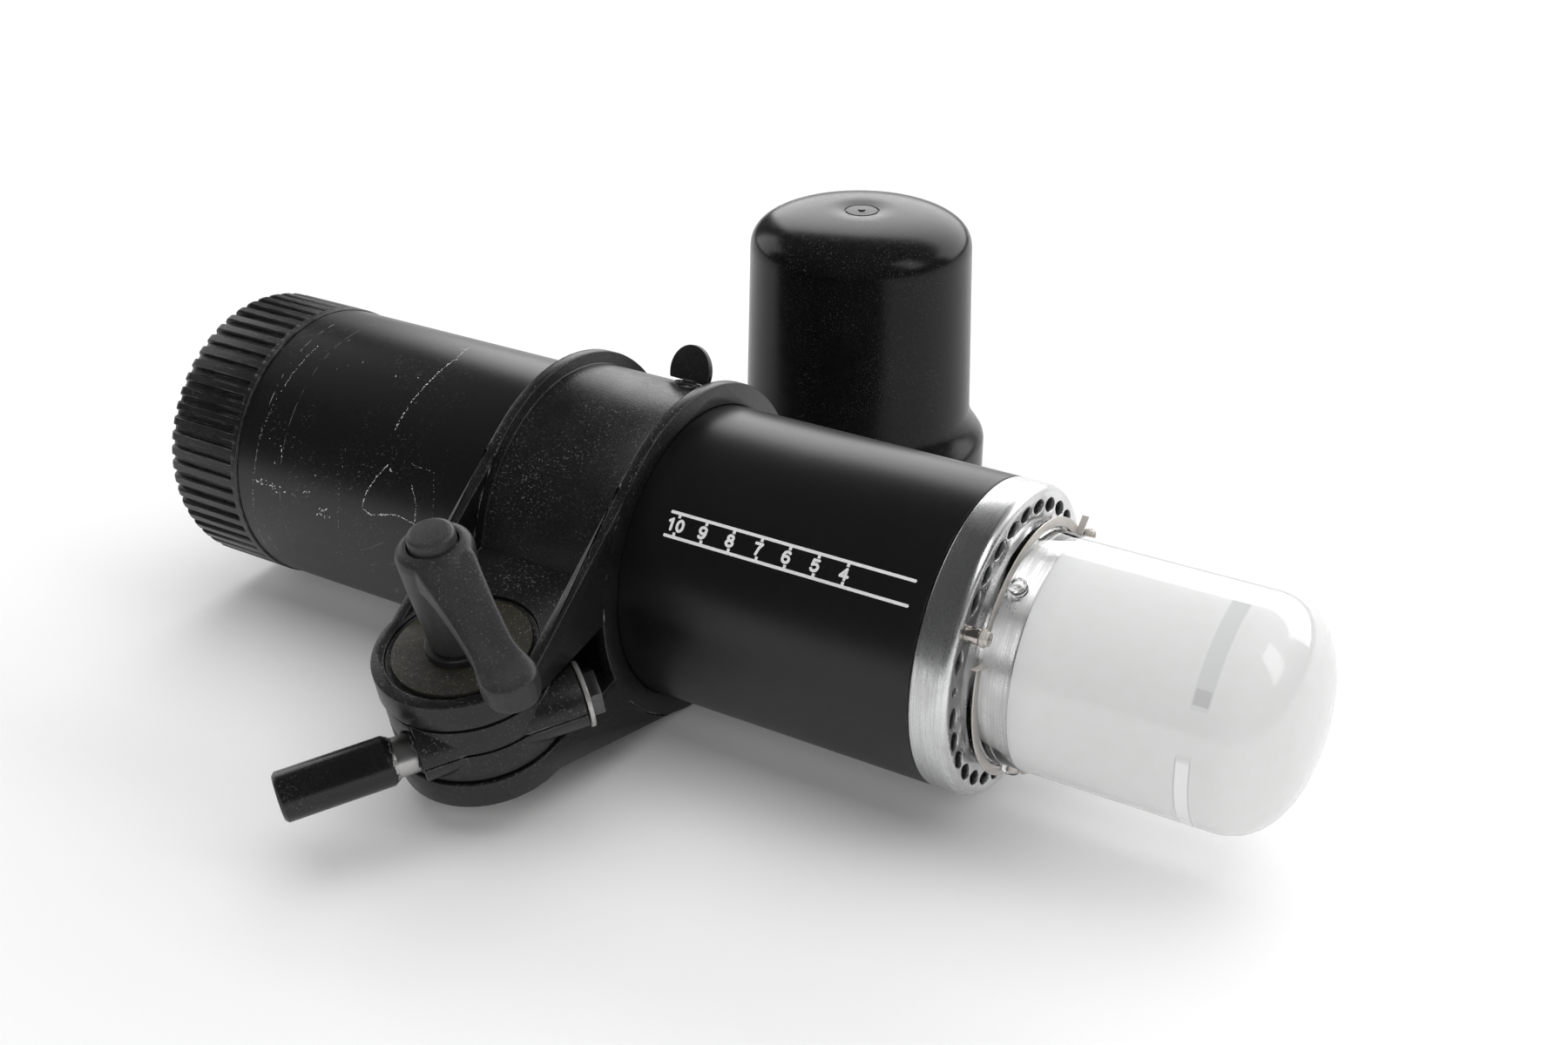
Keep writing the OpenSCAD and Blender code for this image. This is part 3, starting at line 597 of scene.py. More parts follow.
@dataclass(frozen=True)
class Finish:
    """A finish of one material slot, with the marks of its making and use, and lighter edges that are part wear and
    part painted highlight.
    """

    slot: str
    base: Colour
    second: Colour
    rough: float
    rough_span: float = 0.06
    metallic: float = 0.0
    grain: float = 900.0
    bump: float = 0.02
    worn: Colour = (0.32, 0.32, 0.31, 1.0)
    wear: float = 0.0
    wear_radius: float = 0.5
    dust: float = 0.0
    scratches: float = 0.0
    coat: float = 0.0
    transmission: float = 0.0
    specular: float = 0.5

    def build(self, masks: Masks) -> bpy.types.Material:
        """Builds the node material.

        Args:
            masks: The shared node groups.

        Returns:
            The material.
        """
        material = bpy.data.materials.new(self.slot)
        material.use_nodes = True
        net = Net(material.node_tree)
        grain = net.group(masks.grain, Scale=self.grain)
        mask, spread = grain.outputs["Mask"], self.rough_span
        colour = net.mix(mask, self.base, self.second)
        rough = net.span(mask, 0.0, 1.0, self.rough - spread, self.rough + spread)
        for mask, tint, amount in self.marks(net, masks):
            colour = net.mix(mask, colour, tint)
            rough = net.maths("ADD", rough, net.times(mask, amount))
        feeds = {"Strength": BUMP_STRENGTH, "Distance": self.bump * MM, "Height": grain.outputs["Height"]}
        bump = net.node("Bump", feeds)
        net.feed(net.tree.nodes["Principled BSDF"], {
            "Base Color": colour, "Roughness": rough, "Metallic": self.metal(net), "Normal": bump.outputs[0],
            "Coat Weight": self.coat, "Coat Roughness": COAT_ROUGH, "Specular IOR Level": self.specular,
            "Transmission Weight": self.transmission,
        })
        return material

    def metal(self, net: Net) -> Socket | float:
        """How metallic the finish is: a plain number, or a mask where it is worn through."""
        return self.metallic

    def marks(self, net: Net, masks: Masks) -> list[Mark]:
        """The marks of use on this finish, with lighter edges that are part wear and part painted highlight.

        Args:
            net: The material's nodes.
            masks: The shared node groups.

        Returns:
            For each mark its mask, its colour and the roughness that it adds.
        """
        found = []
        # Lighter edges: rubbed wear, and on the cradle, swivel and ribbed ring also a painted highlight along the
        # edges.
        if self.wear > 0:
            node = net.group(masks.wear, Radius=self.wear_radius * MM, Amount=self.wear)
            found.append((node, self.worn, WORN_ROUGH))
        if self.scratches > 0:
            found.append((net.group(masks.scratches, Amount=self.scratches), self.worn, WORN_ROUGH))
        if self.dust > 0:
            found.append((net.group(masks.dust, Amount=self.dust), DUST, DUST_ROUGH))
        return [(node.outputs["Mask"], tint, amount) for node, tint, amount in found]


@dataclass(frozen=True)
class TubePaint(Finish):
    """Satin black paint, scuffed on the rear half where the cradle slides and the bag rubs."""

    rings: tuple[Colour, ...] = ((-0.2588, 0.2, 0.4, 0.003), (-0.2475, 0.12, 0.25, 0.002))

    def marks(self, net: Net, masks: Masks) -> list[Mark]:
        """Adds the rubbed rings and the chips of the rear half.

        Args:
            net: The material's nodes.
            masks: The shared node groups.

        Returns:
            The marks.
        """
        found = []
        for place, width, amount, wander in self.rings:
            ring = net.group(masks.ring_line, Place=place, Width=width * MM, Amount=amount, Wander=wander)
            found.append(ring.outputs["Mask"])
        rear = net.span(net.along("X"), -0.172, -0.2, 0.0, 0.7)
        facing = net.span(net.along("Y"), 0.0, -0.03, 0.25, 1.0)
        chips = net.span(net.noise(330.0, 3.0, (1.0, 0.7, 0.7)), 0.71, 0.74)
        cloud = net.span(net.noise(42.0, 2.0), 0.5, 0.6)
        found.append(net.times(chips, cloud, rear, facing))
        found.append(net.times(net.group(masks.scratches, Amount=0.2, Scale=22.0).outputs["Mask"], rear))
        return super().marks(net, masks) + [(mask, CHIPPED, WORN_ROUGH) for mask in found]


@dataclass(frozen=True)
class StudPaint(Finish):
    """Black paint on the stud, worn to bright metal round its neck."""

    neck_from: float = -29.9
    neck_to: float = -23.4

    def marks(self, net: Net, masks: Masks) -> list[Mark]:
        """The usual marks and the bright band on the neck."""
        return super().marks(net, masks) + [(self.metal(net), grey(0.55, 0.01), 0.04)]

    def metal(self, net: Net) -> Socket:
        """The band of bare metal round the neck.

        Args:
            net: The material's nodes.

        Returns:
            The band's mask.
        """
        foot, along = BARREL_LINE
        from_foot = net.node("VectorMath", {0: net.where(), 1: foot}, "SUBTRACT").outputs[0]
        ragged = net.span(net.noise(500.0, 4.0), 0.3, 0.7, -0.0006, 0.0006)
        place = net.maths("ADD", net.dot(from_foot, along), ragged)
        after = net.span(place, (self.neck_from - 0.3) * MM, self.neck_from * MM)
        before = net.span(place, self.neck_to * MM, (self.neck_to + 0.3) * MM, 1.0, 0.0)
        return net.times(after, before)


@dataclass(frozen=True)
class FrostedGlass(Finish):
    """Etched milky glass with two clear windows near its end."""

    windows: tuple[tuple[float, float, float, float, Colour], ...] = (
        (78.2, 84.3, 27.2, 91.0, grey(0.8, -0.01)),
        (78.6, 83.9, 28.0, 90.0, grey(0.68, -0.004)),
        (79.0, 83.5, 28.8, 36.0, grey(0.56, 0.0)),
        (77.2, 81.9, -51.0, 4.0, grey(0.56, -0.01)),
        (77.6, 81.5, -50.0, 3.0, grey(0.95)),
    )
    window_blur: float = 0.04

    def marks(self, net: Net, masks: Masks) -> list[Mark]:
        """The clear windows and the thinner frosting towards the foot.

        Args:
            net: The material's nodes.
            masks: The shared node groups; not used.

        Returns:
            The marks.
        """
        along = net.along("X")
        angle = net.maths("ARCTAN2", net.along("Z"), net.times(net.along("Y"), -1.0))
        found = [(net.span(along, 0.034, 0.025, 0.0, 0.35), grey(0.62, -0.02), 0.0)]
        for start, end, low, high, tint in self.windows:
            edges = []
            for value, near, far in ((along, start * MM, end * MM), (angle, math.radians(low), math.radians(high))):
                blur = (far - near) * self.window_blur
                edges.append(net.span(value, near - blur, near + blur))
                edges.append(net.span(value, far - blur, far + blur, 1.0, 0.0))
            found.append((net.times(*edges), tint, -0.3))
        return found

    def build(self, masks: Masks) -> bpy.types.Material:
        """Builds the material and lets light spread inside the glass.

        Args:
            masks: The shared node groups.

        Returns:
            The material.
        """
        material = super().build(masks)
        Net(material.node_tree).feed(material.node_tree.nodes["Principled BSDF"], {
            "Subsurface Weight": 0.35, "Subsurface Radius": (0.01, 0.01, 0.01), "Subsurface Scale": 1.0,
        })
        return material


@dataclass(frozen=True)
class BrushedMetal(Finish):
    """Turned and polished metal with fine lines round the body's axis."""

    def marks(self, net: Net, masks: Masks) -> list[Mark]:
        """Adds the lines of the turning and cloudy patches.

        Args:
            net: The material's nodes.
            masks: The shared node groups.

        Returns:
            The marks.
        """
        lines = net.span(net.noise(2600.0, 2.0, (1.0, 0.02, 0.02)), 0.4, 0.62)
        cloud = net.span(net.noise(70.0, 4.0), 0.52, 0.7)
        return super().marks(net, masks) + [
            (net.times(lines, 0.45), grey(0.55, 0.01), 0.22), (net.times(cloud, 0.3), grey(0.5, 0.02), 0.25),
        ]


def finishes() -> list[Finish]:
    """All finishes of the flash.

    Returns:
        One finish for each material slot, then the white print and the painted shade of a gap.
    """
    metal = {"metallic": 1.0, "bump": 0.004, "grain": 1800.0}
    return [
        TubePaint("black_tube", grey(0.0042), grey(0.005), 0.32, 0.005, grain=420.0, bump=0.0, wear=0.12, dust=0.02,
                  worn=grey(0.3)),
        BrushedMetal("polished_ring", grey(0.86, -0.008), grey(0.8, -0.008), 0.24, 0.05, scratches=0.2,
                     worn=grey(0.6), **metal),
        BrushedMetal("bright_dish", grey(0.86, -0.006), grey(0.82), 0.27, 0.05, **metal),
        FrostedGlass("frosted_glass", grey(0.78, -0.003), grey(0.76, 0.006), 0.42, 0.05, grain=200.0, bump=0.001,
                     coat=1.0),
        Finish("clear_glass", grey(0.96), grey(0.93), 0.03, 0.01, grain=120.0, bump=0.02, transmission=1.0),
        Finish("lamp_glass", grey(0.85), grey(0.78), 0.25, transmission=0.6),
        Finish("plated_steel", grey(0.62, 0.06), grey(0.46, 0.1), 0.24, 0.08, scratches=0.3, **metal),
        Finish("spring_steel", grey(0.6, 0.05), grey(0.5, 0.08), 0.34, metallic=0.45, grain=1800.0, bump=0.004),
        Finish("ceramic", grey(0.78, 0.04), grey(0.7, 0.05), 0.45),
        Finish("sheet_metal", grey(0.55), grey(0.48), 0.35, **metal),
        Finish("black_plastic", grey(0.008), grey(0.012), 0.38, wear=0.4, dust=0.2),
        Finish("capacitor_can", (0.03, 0.09, 0.2, 1), (0.02, 0.07, 0.17, 1), 0.3),
        Finish("board_green", (0.02, 0.13, 0.05, 1), (0.03, 0.17, 0.06, 1), 0.4),
        Finish("electronics_grey", grey(0.07), grey(0.1), 0.5),
        Finish("copper_winding", (0.5, 0.2, 0.08, 1), (0.36, 0.13, 0.05, 1), 0.35, metallic=1.0),
        # Painted highlight: the lighter edge colour stands in for the highlights on the rib edges, as well as wear.
        Finish("ribbed_plastic", grey(0.0055), grey(0.009), 0.36, 0.05, wear=0.5, wear_radius=0.35, dust=0.3,
               worn=grey(0.3)),
        Finish("panel_black", grey(0.012), grey(0.02), 0.5, grain=1500.0, bump=0.03, dust=0.2, scratches=0.15),
        Finish("dark_screw", grey(0.16), grey(0.1), 0.35, wear=0.6, **metal),
        Finish("red_plastic", (0.45, 0.02, 0.012, 1), (0.36, 0.015, 0.01, 1), 0.35, wear=0.3,
               worn=(0.6, 0.2, 0.15, 1)),
        Finish("dial_plastic", grey(0.018), grey(0.026), 0.45, wear=0.4, dust=0.25),
        Finish("red_lens", (0.35, 0.01, 0.02, 1), (0.25, 0.01, 0.015, 1), 0.12, coat=0.6),
        Finish("green_lens", (0.03, 0.35, 0.08, 1), (0.02, 0.28, 0.06, 1), 0.12, coat=0.6),
        # Painted highlight: the strong lighter edge colour stands in for the thin bright highlights along the flange
        # edges, as well as wear.
        Finish("cradle_plastic", grey(0.005), grey(0.009), 0.34, grain=1300.0, bump=0.03, wear=1.0,
               wear_radius=0.35, dust=0.45, scratches=0.12, worn=grey(0.26)),
        Finish("olive_fibre", (0.03, 0.028, 0.016, 1), (0.02, 0.0195, 0.0165, 1), 0.5, grain=380.0, bump=0.04,
               dust=0.5, scratches=0.4, worn=(0.09, 0.085, 0.06, 1)),
        # Painted highlight: the lighter edge colour stands in for the highlights along the swivel's edges, as well as
        # wear.
        Finish("swivel_black", grey(0.0055), grey(0.0095), 0.36, grain=1100.0, bump=0.03, wear=0.7,
               wear_radius=0.4, dust=0.5, worn=grey(0.28)),
        StudPaint("stud_black", grey(0.005), grey(0.007), 0.26, 0.05, bump=0.01, wear=0.8, scratches=0.3,
                  worn=grey(0.35)),
        Finish("galvanised", grey(0.6, 0.02), grey(0.44, 0.03), 0.42, 0.1, metallic=0.85, grain=600.0,
               scratches=0.4, worn=grey(0.75)),
        Finish("lever_plastic", grey(0.017), grey(0.026), 0.46, 0.05, grain=2200.0, bump=0.045, wear=0.25, dust=0.3,
               worn=grey(0.16)),
        Finish("lever_button_plastic", grey(0.022), grey(0.032), 0.42, grain=2200.0, bump=0.03, dust=0.3),
        Finish("cap_plastic", grey(0.0042), grey(0.006), 0.23, 0.03, grain=320.0, bump=0.002, dust=0.18,
               scratches=0.2, specular=0.22, worn=grey(0.2)),
        Finish("white_print", grey(0.72), grey(0.62), 0.5, grain=700.0, bump=0.01, scratches=0.5, worn=grey(0.2)),
        # Painted shade: near-black and dull, for the bands laid over the swivel's gaps.
        Finish("gap_shade", grey(0.0006), grey(0.0006), 0.9, 0.0, bump=0.0, specular=0.1),
    ]


@dataclass(frozen=True)
class Copied:
    """A CAD node that is taken over as a smooth piece with softened edges."""

    node: str
    name: str
    slot: str
    bevel: float
    body: Body = Body.HOUSING
    rounds: tuple[Line, ...] = ()
    segments: int = 2
    angle: float = 34.0
    clamp: bool = True

    def shape(self) -> Obj:
        """Merges the node's triangles, softens the edges and shades the faces.

        Returns:
            The new object, in the node's place.
        """
        obj = held(self.name, frame["nodes"][self.node].data.copy())
        obj.data.materials.clear()
        edit(obj)
        bpy.ops.mesh.remove_doubles(threshold=MERGE)
        if self.bevel > 0:
            select_mesh()
            bpy.ops.mesh.dissolve_limited(angle_limit=math.radians(FLAT_ANGLE))
            soften(obj, self.bevel, self.segments, self.angle, self.clamp)
        smooth(obj, self.angle)
        for line in self.rounds:
            true_round(obj, line)
        return obj


class Dresser:
    """Gives pieces their body, their slot and their finish."""

    def __init__(self) -> None:
        """Builds all finishes."""
        masks = Masks()
        self.materials = {finish.slot: finish.build(masks) for finish in finishes()}

    def cad_nodes(self) -> None:
        """Puts each slot's finish on the CAD nodes that carry it."""
        for entry in frame["record"]["subparts"]:
            data = frame["nodes"][entry["node"]].data
            data.materials.clear()
            data.materials.append(self.materials[entry["material_slot"]])

    def piece(self, obj: Obj, body: Body, slot: str, *nodes: str, look: str = "") -> None:
        """Hands a finished piece to its body.

        Args:
            obj: The finished piece.
            body: The body that it moves with.
            slot: The material slot of its finish.
            nodes: CAD nodes that it replaces.
            look: The finish that it shows, where that isn't its slot's.
        """
        obj.data.materials.clear()
        obj.data.materials.append(self.materials[look or slot])
        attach(obj, body.value)
        if nodes:
            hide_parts(*nodes)
        LOG.info("%s rides on %s", obj.name, body.value)

    def copies(self, *rows: Copied) -> None:
        """Makes pieces from CAD nodes and hands each to its body."""
        for row in rows:
            self.piece(row.shape(), row.body, row.slot, row.node)


@dataclass
class Assembly:
    """A sub-assembly, with the dresser that gives its pieces their finishes and bodies."""

    dresser: Dresser


@dataclass
class BodyTube(Assembly):
    """The black tube with its printed zoom scale."""

    radius: float = 50.0
    wall: float = 1.5
    length: float = 269.0
    print_lift: float = 0.05
    chip_lift: float = 0.025
    chip_seed: int = 7
    chip_ragged: Point = (0.6, 0.4)
    chip_length: Point = (0.8, 2.4)
    chip_width: Point = (0.35, 0.6)
    chips_left_out: float = 0.25
    upper_line: float = 43.1
    lower_line: float = 34.3
    line_from: float = -91.0
    line_to: float = -5.0
    line_width: float = 1.0
    end_round: float = 0.48
    tick: float = 1.0
    first_mark: float = -87.4
    mark_step: float = 10.0
    numbers: tuple[int, ...] = (10, 9, 8, 7, 6, 5, 4)
    number_shift: float = -0.4
    number_height: float = 4.1
    number_stroke: float = 0.94
    number_width: float = 1.22
    digit_step: float = 3.3
    stroke_step: float = 0.0015
    rubbed: tuple[tuple[tuple[Point, ...], float, float, float], ...] = (
        (((-255.7, 70.6), (-256.5, 58.4), (-257.5, 48.2)), 0.42, 2.2, 0.12),
        (((-257.5, 48.2), (-259.0, 34.0), (-260.4, 18.4), (-261.6, 4.7), (-264.0, -13.6), (-265.5, -30.0)),
         0.3, 1.1, 0.12),
        (((-204.8, 96.0), (-201.9, 83.9), (-202.4, 68.5), (-203.4, 57.1), (-203.9, 44.5)), 0.5, 2.3, 0.16),
        (((-221.5, 32.2), (-220.9, 21.4), (-221.2, 8.3), (-222.0, -4.0), (-224.0, -18.7)), 0.26, 0.9, 0.12),
        (((-202.0, 30.1), (-205.9, 23.6), (-208.9, 17.3), (-210.5, 10.4), (-206.3, 8.8), (-195.3, 12.0),
          (-187.2, 10.6)), 0.5, 2.6, 0.1),
        (((-187.2, 10.6), (-186.9, 18.0), (-190.2, 25.1)), 0.4, 1.9, 0.12),
        (((-196.5, 33.4), (-189.2, 32.6), (-182.7, 32.5), (-180.3, 23.4), (-179.5, 12.8)), 0.26, 1.1, 0.08),
        (((-259.3, 8.1), (-253.9, 7.6), (-246.3, 7.8)), 0.75, 2.2, 0.7),
        (((-244.0, 6.6), (-239.8, 7.7), (-233.5, 10.2)), 0.6, 1.2, 0.6),
        (((-230.7, 1.6), (-228.2, 5.3), (-226.5, 0.8)), 0.75, 1.6, 0.9),
        (((-231.6, 69.1), (-243.3, 61.3)), 0.4, 0.3, 0.6),
        (((-221.3, 64.6), (-210.4, 68.3), (-209.0, 60.0)), 0.55, 0.3, 1.2),
        (((-249.9, 24.6), (-248.5, 22.0), (-249.5, 18.0)), 0.7, 0.8, 0.5),
        (((-255.5, 29.0), (-252.0, 16.0)), 0.6, 0.3, 0.5),
        (((-233.9, 17.5), (-229.3, 17.8)), 0.7, 0.5, 0.4),
        (((-209.9, -14.3), (-210.1, -20.0)), 0.5, 0.6, 0.6),
    )

    def build(self) -> None:
        """Builds the tube and the print on it."""
        out, inside, rear = self.radius, self.radius - self.wall, -self.length
        profile = [
            (-0.6, out), (-60.0, out), (-130.0, out), (-200.0, out), (rear + 0.3, out), (rear, out - 0.3),
            (rear, inside), (-200.0, inside), (-100.0, inside), (0.0, inside), (0.0, out - 0.6),
            (-0.25, out - 0.18), (-0.6, out),
        ]
        tube = smooth(lathe("tube_shell", profile, 160), 30)
        self.dresser.piece(tube, Body.HOUSING, "black_tube", "body_tube")
        for marking in (self.scale(), self.scuffs()):
            self.dresser.piece(marking, Body.HOUSING, "ceramic", look="white_print")

    def way(self, angle: float) -> float:
        """The way round the tube to an angle in degrees, in millimetres."""
        return math.radians(angle) * self.radius

    def bar(self, x: float, angle: float, length: float, width: float) -> Obj:
        """A flat printed bar, drawn on the unrolled tube, with round ends if it is long.

        Args:
            x: Middle of the bar along the body.
            angle: Height of the bar, as degrees round the tube.
            length: Size along the body.
            width: Size round the tube.

        Returns:
            The bar as a flat mesh.
        """
        clear()
        bpy.ops.mesh.primitive_grid_add(x_subdivisions=max(2, int(length)), y_subdivisions=2, size=1)
        middle = self.way(angle)
        obj = sized((length, width), (x, middle, 0.0))
        if length > 2 * width:
            edit(obj)
            bpy.ops.mesh.select_all(action="DESELECT")
            bpy.ops.object.mode_set(mode="OBJECT")
            for vertex in obj.data.vertices:
                at_end = abs(vertex.co.x - x * MM) > (length / 2 - 0.01) * MM
                vertex.select = at_end and abs(vertex.co.y - middle * MM) > 0.4 * width * MM
            bpy.ops.object.mode_set(mode="EDIT")
            bpy.ops.mesh.bevel(affect="VERTICES", offset=width * self.end_round * MM, segments=4)
            bpy.ops.object.mode_set(mode="OBJECT")
        return obj

    @staticmethod
    def oval(x: float, y: float, half_x: float, half_y: float) -> list[Point]:
        """A closed oval as the points of a stroke."""
        turns = [math.tau * index / 20 for index in range(21)]
        return [(x + half_x * math.cos(turn), y + half_y * math.sin(turn)) for turn in turns]

    def digit(self, sign: str) -> list[list[Point]]:
        """The strokes of one digit, in a box one high round its middle.

        Args:
            sign: The digit.

        Returns:
            Its strokes as lists of points.
        """
        tail = [(0.22, 0.17), (0.21, -0.12), (0.14, -0.32), (0.0, -0.41), (-0.13, -0.4), (-0.2, -0.33)]
        nine = [self.oval(0.0, 0.17, 0.22, 0.24), tail]
        return {
            "0": [self.oval(0.0, 0.0, 0.21, 0.41)],
            "1": [[(-0.14, 0.24), (0.05, 0.41), (0.05, -0.41)]],
            "4": [[(0.1, -0.41), (0.1, 0.38), (-0.24, -0.17), (0.26, -0.17)]],
            "5": [[(0.19, 0.4), (-0.15, 0.4), (-0.19, 0.03), (-0.06, 0.11), (0.09, 0.1), (0.21, -0.02),
                   (0.22, -0.18), (0.14, -0.34), (-0.02, -0.41), (-0.15, -0.38), (-0.22, -0.28)]],
            "6": [[(-px, -py) for px, py in line] for line in nine],
            "7": [[(-0.22, 0.4), (0.22, 0.4), (0.05, 0.08), (-0.06, -0.41)]],
            "8": [self.oval(0.0, 0.21, 0.18, 0.19), self.oval(0.0, -0.2, 0.22, 0.21)],
            "9": nine,
        }[sign]

    def number(self, text: str, x: float) -> Obj:
        """A bold number of the scale, drawn in strokes on the unrolled tube.

        Args:
            text: The number.
            x: Its middle along the tube, in millimetres.

        Returns:
            The flat number.
        """
        middle = self.way((self.upper_line + self.lower_line) / 2)
        wide, high = self.number_width * self.number_height, self.number_height
        parts = []
        for place, sign in enumerate(text):
            start_x = x + (place - (len(text) - 1) / 2) * self.digit_step
            for line in self.digit(sign):
                points = [Vector((start_x + px * wide, middle + py * high, 0)) for px, py in line]
                for start, end in zip(points, points[1:]):
                    clear()
                    bpy.ops.mesh.primitive_plane_add(size=1)
                    run = sized(((end - start).length, self.number_stroke))
                    turn = Matrix.Rotation(math.atan2(end.y - start.y, end.x - start.x), 4, "Z")
                    run.data.transform(Matrix.Translation((start + end) / 2 * MM) @ turn)
                    parts.append(run)
                for point in points:
                    clear()
                    radius = self.number_stroke / 2 * MM
                    bpy.ops.mesh.primitive_circle_add(vertices=16, radius=radius, fill_type="NGON")
                    bpy.context.object.data.transform(Matrix.Translation(point * MM))
                    parts.append(bpy.context.object)
        for level, part in enumerate(parts):
            part.data.transform(moved(0, 0, level * self.stroke_step))
        return join("number", parts)

    def scuffs(self) -> Obj:
        """Chips through the paint along the lines where clamps and bags have rubbed.

        Returns:
            The chips as one piece.
        """
        chance = random.Random(self.chip_seed)
        clear()
        bpy.ops.mesh.primitive_circle_add(vertices=7, radius=1.0, fill_type="NGON")
        master = bpy.context.object
        least, more = self.chip_ragged
        for vertex in master.data.vertices:
            vertex.co *= least + more * chance.random()
        chips = [master]
        for points, width, density, spread in self.rubbed:
            path = [Vector((x, self.way(angle), 0)) for x, angle in points]
            for start, end in zip(path, path[1:]):
                count = max(1, int((end - start).length * density))
                heading = math.atan2(end.y - start.y, end.x - start.x)
                for index in range(count):
                    if chance.random() < self.chips_left_out:
                        continue
                    place = start.lerp(end, (index + chance.random()) / count)
                    place += Vector((chance.gauss(0, spread), chance.gauss(0, spread), 0))
                    length = width * (self.chip_length[0] + self.chip_length[1] * chance.random() ** 2)
                    turn = Matrix.Rotation(heading + chance.gauss(0, 0.3 + spread * 0.4), 4, "Z")
                    across = width * (self.chip_width[0] + self.chip_width[1] * chance.random())
                    size = Matrix.Diagonal((length * MM / 2, across * MM / 2, 1, 1))
                    chip = held("chip", master.data.copy())
                    chip.data.transform(Matrix.Translation(place * MM) @ turn @ size)
                    chips.append(chip)
        x, angle = self.rubbed[0][0][0]
        master.data.transform(moved(x, self.way(angle), 0) @ Matrix.Scale(0.3 * MM, 4))
        return self.roll(join("tube_scuffs", chips), self.chip_lift)

    def roll(self, obj: Obj, lift: float) -> Obj:
        """Rolls a flat drawing onto the tube.

        Args:
            obj: The drawing, with Y as the way round the tube.
            lift: How far it stands off the tube, in millimetres.

        Returns:
            The same object.
        """
        for vertex in obj.data.vertices:
            angle = vertex.co.y / (self.radius * MM)
            radius = (self.radius + lift) * MM + vertex.co.z
            vertex.co = Vector((vertex.co.x, -radius * math.cos(angle), radius * math.sin(angle)))
        return obj

    def scale(self) -> Obj:
        """The two lines, ticks and numbers, rolled onto the tube.

        Returns:
            The print as one piece.
        """
        middle, length = (self.line_from + self.line_to) / 2, self.line_to - self.line_from
        lines = (self.upper_line, self.lower_line)
        parts = [self.bar(middle, angle, length, self.line_width) for angle in lines]
        inward = math.degrees((self.line_width / 2 + self.tick / 2) / self.radius)
        for index, value in enumerate(self.numbers):
            x = self.first_mark + index * self.mark_step
            for angle, side in zip(lines, (-1, 1)):
                parts.append(self.bar(x, angle + inward * side, self.tick, self.tick))
            parts.append(self.number(str(value), x + self.number_shift))
        return self.roll(join("zoom_scale", parts), self.print_lift)


@dataclass
class FrontRing(Assembly):
    """The polished ring with its slots, the dish and the glass clips."""

    posts: Place = (31.0, 151.0, -89.0)
    leaf_inner: float = 38.2
    leaf_outer: float = 41.2
    leaf_x: float = 16.6
    leaf_thickness: float = 0.5
    leaf_sweep: float = 108.0
    leaf_edge: float = 0.08
    tab_height: float = 4.6
    tab_width: float = 2.2

    def build(self) -> None:
        """Builds the ring, the dish and the clips."""
        self.dresser.copies(
            Copied("cooling_ring", "slotted_ring", "polished_ring", 0.22, rounds=(BODY_LINE,), angle=40.0),
            Copied("reflector_dish", "dish", "bright_dish", 0.0, rounds=(BODY_LINE,)),
            Copied("glass_posts", "clip_posts", "plated_steel", 0.25),
            Copied("post_screws", "clip_screws", "spring_steel", 0.25),
        )
        self.dresser.piece(self.leaves(), Body.HOUSING, "spring_steel", "glass_springs")

    def leaves(self) -> Obj:
        """The three leaf springs, each swept from its post to an upturned end.

        Returns:
            The leaves as one piece.
        """
        wide, thick = self.leaf_outer - self.leaf_inner, self.leaf_thickness
        clear()
        bpy.ops.mesh.primitive_plane_add(size=1)
        strip = sized((thick, wide), (self.leaf_x + thick / 2, self.leaf_inner + wide / 2, 0.0))
        edit(strip)
        bpy.ops.mesh.spin(steps=54, angle=math.radians(self.leaf_sweep), center=(0, 0, 0), axis=(1, 0, 0))
        strip = named("leaf")
        clear()
        bpy.ops.mesh.primitive_cube_add(size=1)
        tall = self.tab_height + wide
        place = (self.leaf_x + self.tab_width / 2, self.leaf_inner + tall / 2, 0.0)
        tab = sized((self.tab_width, tall, thick), place)
        ends = [math.degrees(math.atan2(v.co.z, v.co.y)) for v in strip.data.vertices]
        far = max(ends, key=abs)
        leaf = join("leaf", [strip, seat(tab, turned(far))])
        edit(leaf)
        leaf = outward("leaf")
        soften(leaf, self.leaf_edge)
        if far < 0:
            seat(leaf, turned(-far))
        copies = []
        for post in self.posts:
            copies.append(held("leaf_copy", leaf.data.copy()))
            copies[-1].data.transform(turned(180 - post - self.leaf_sweep))
        bpy.data.objects.remove(leaf)
        return smooth(join("clip_leaves", copies), 34)


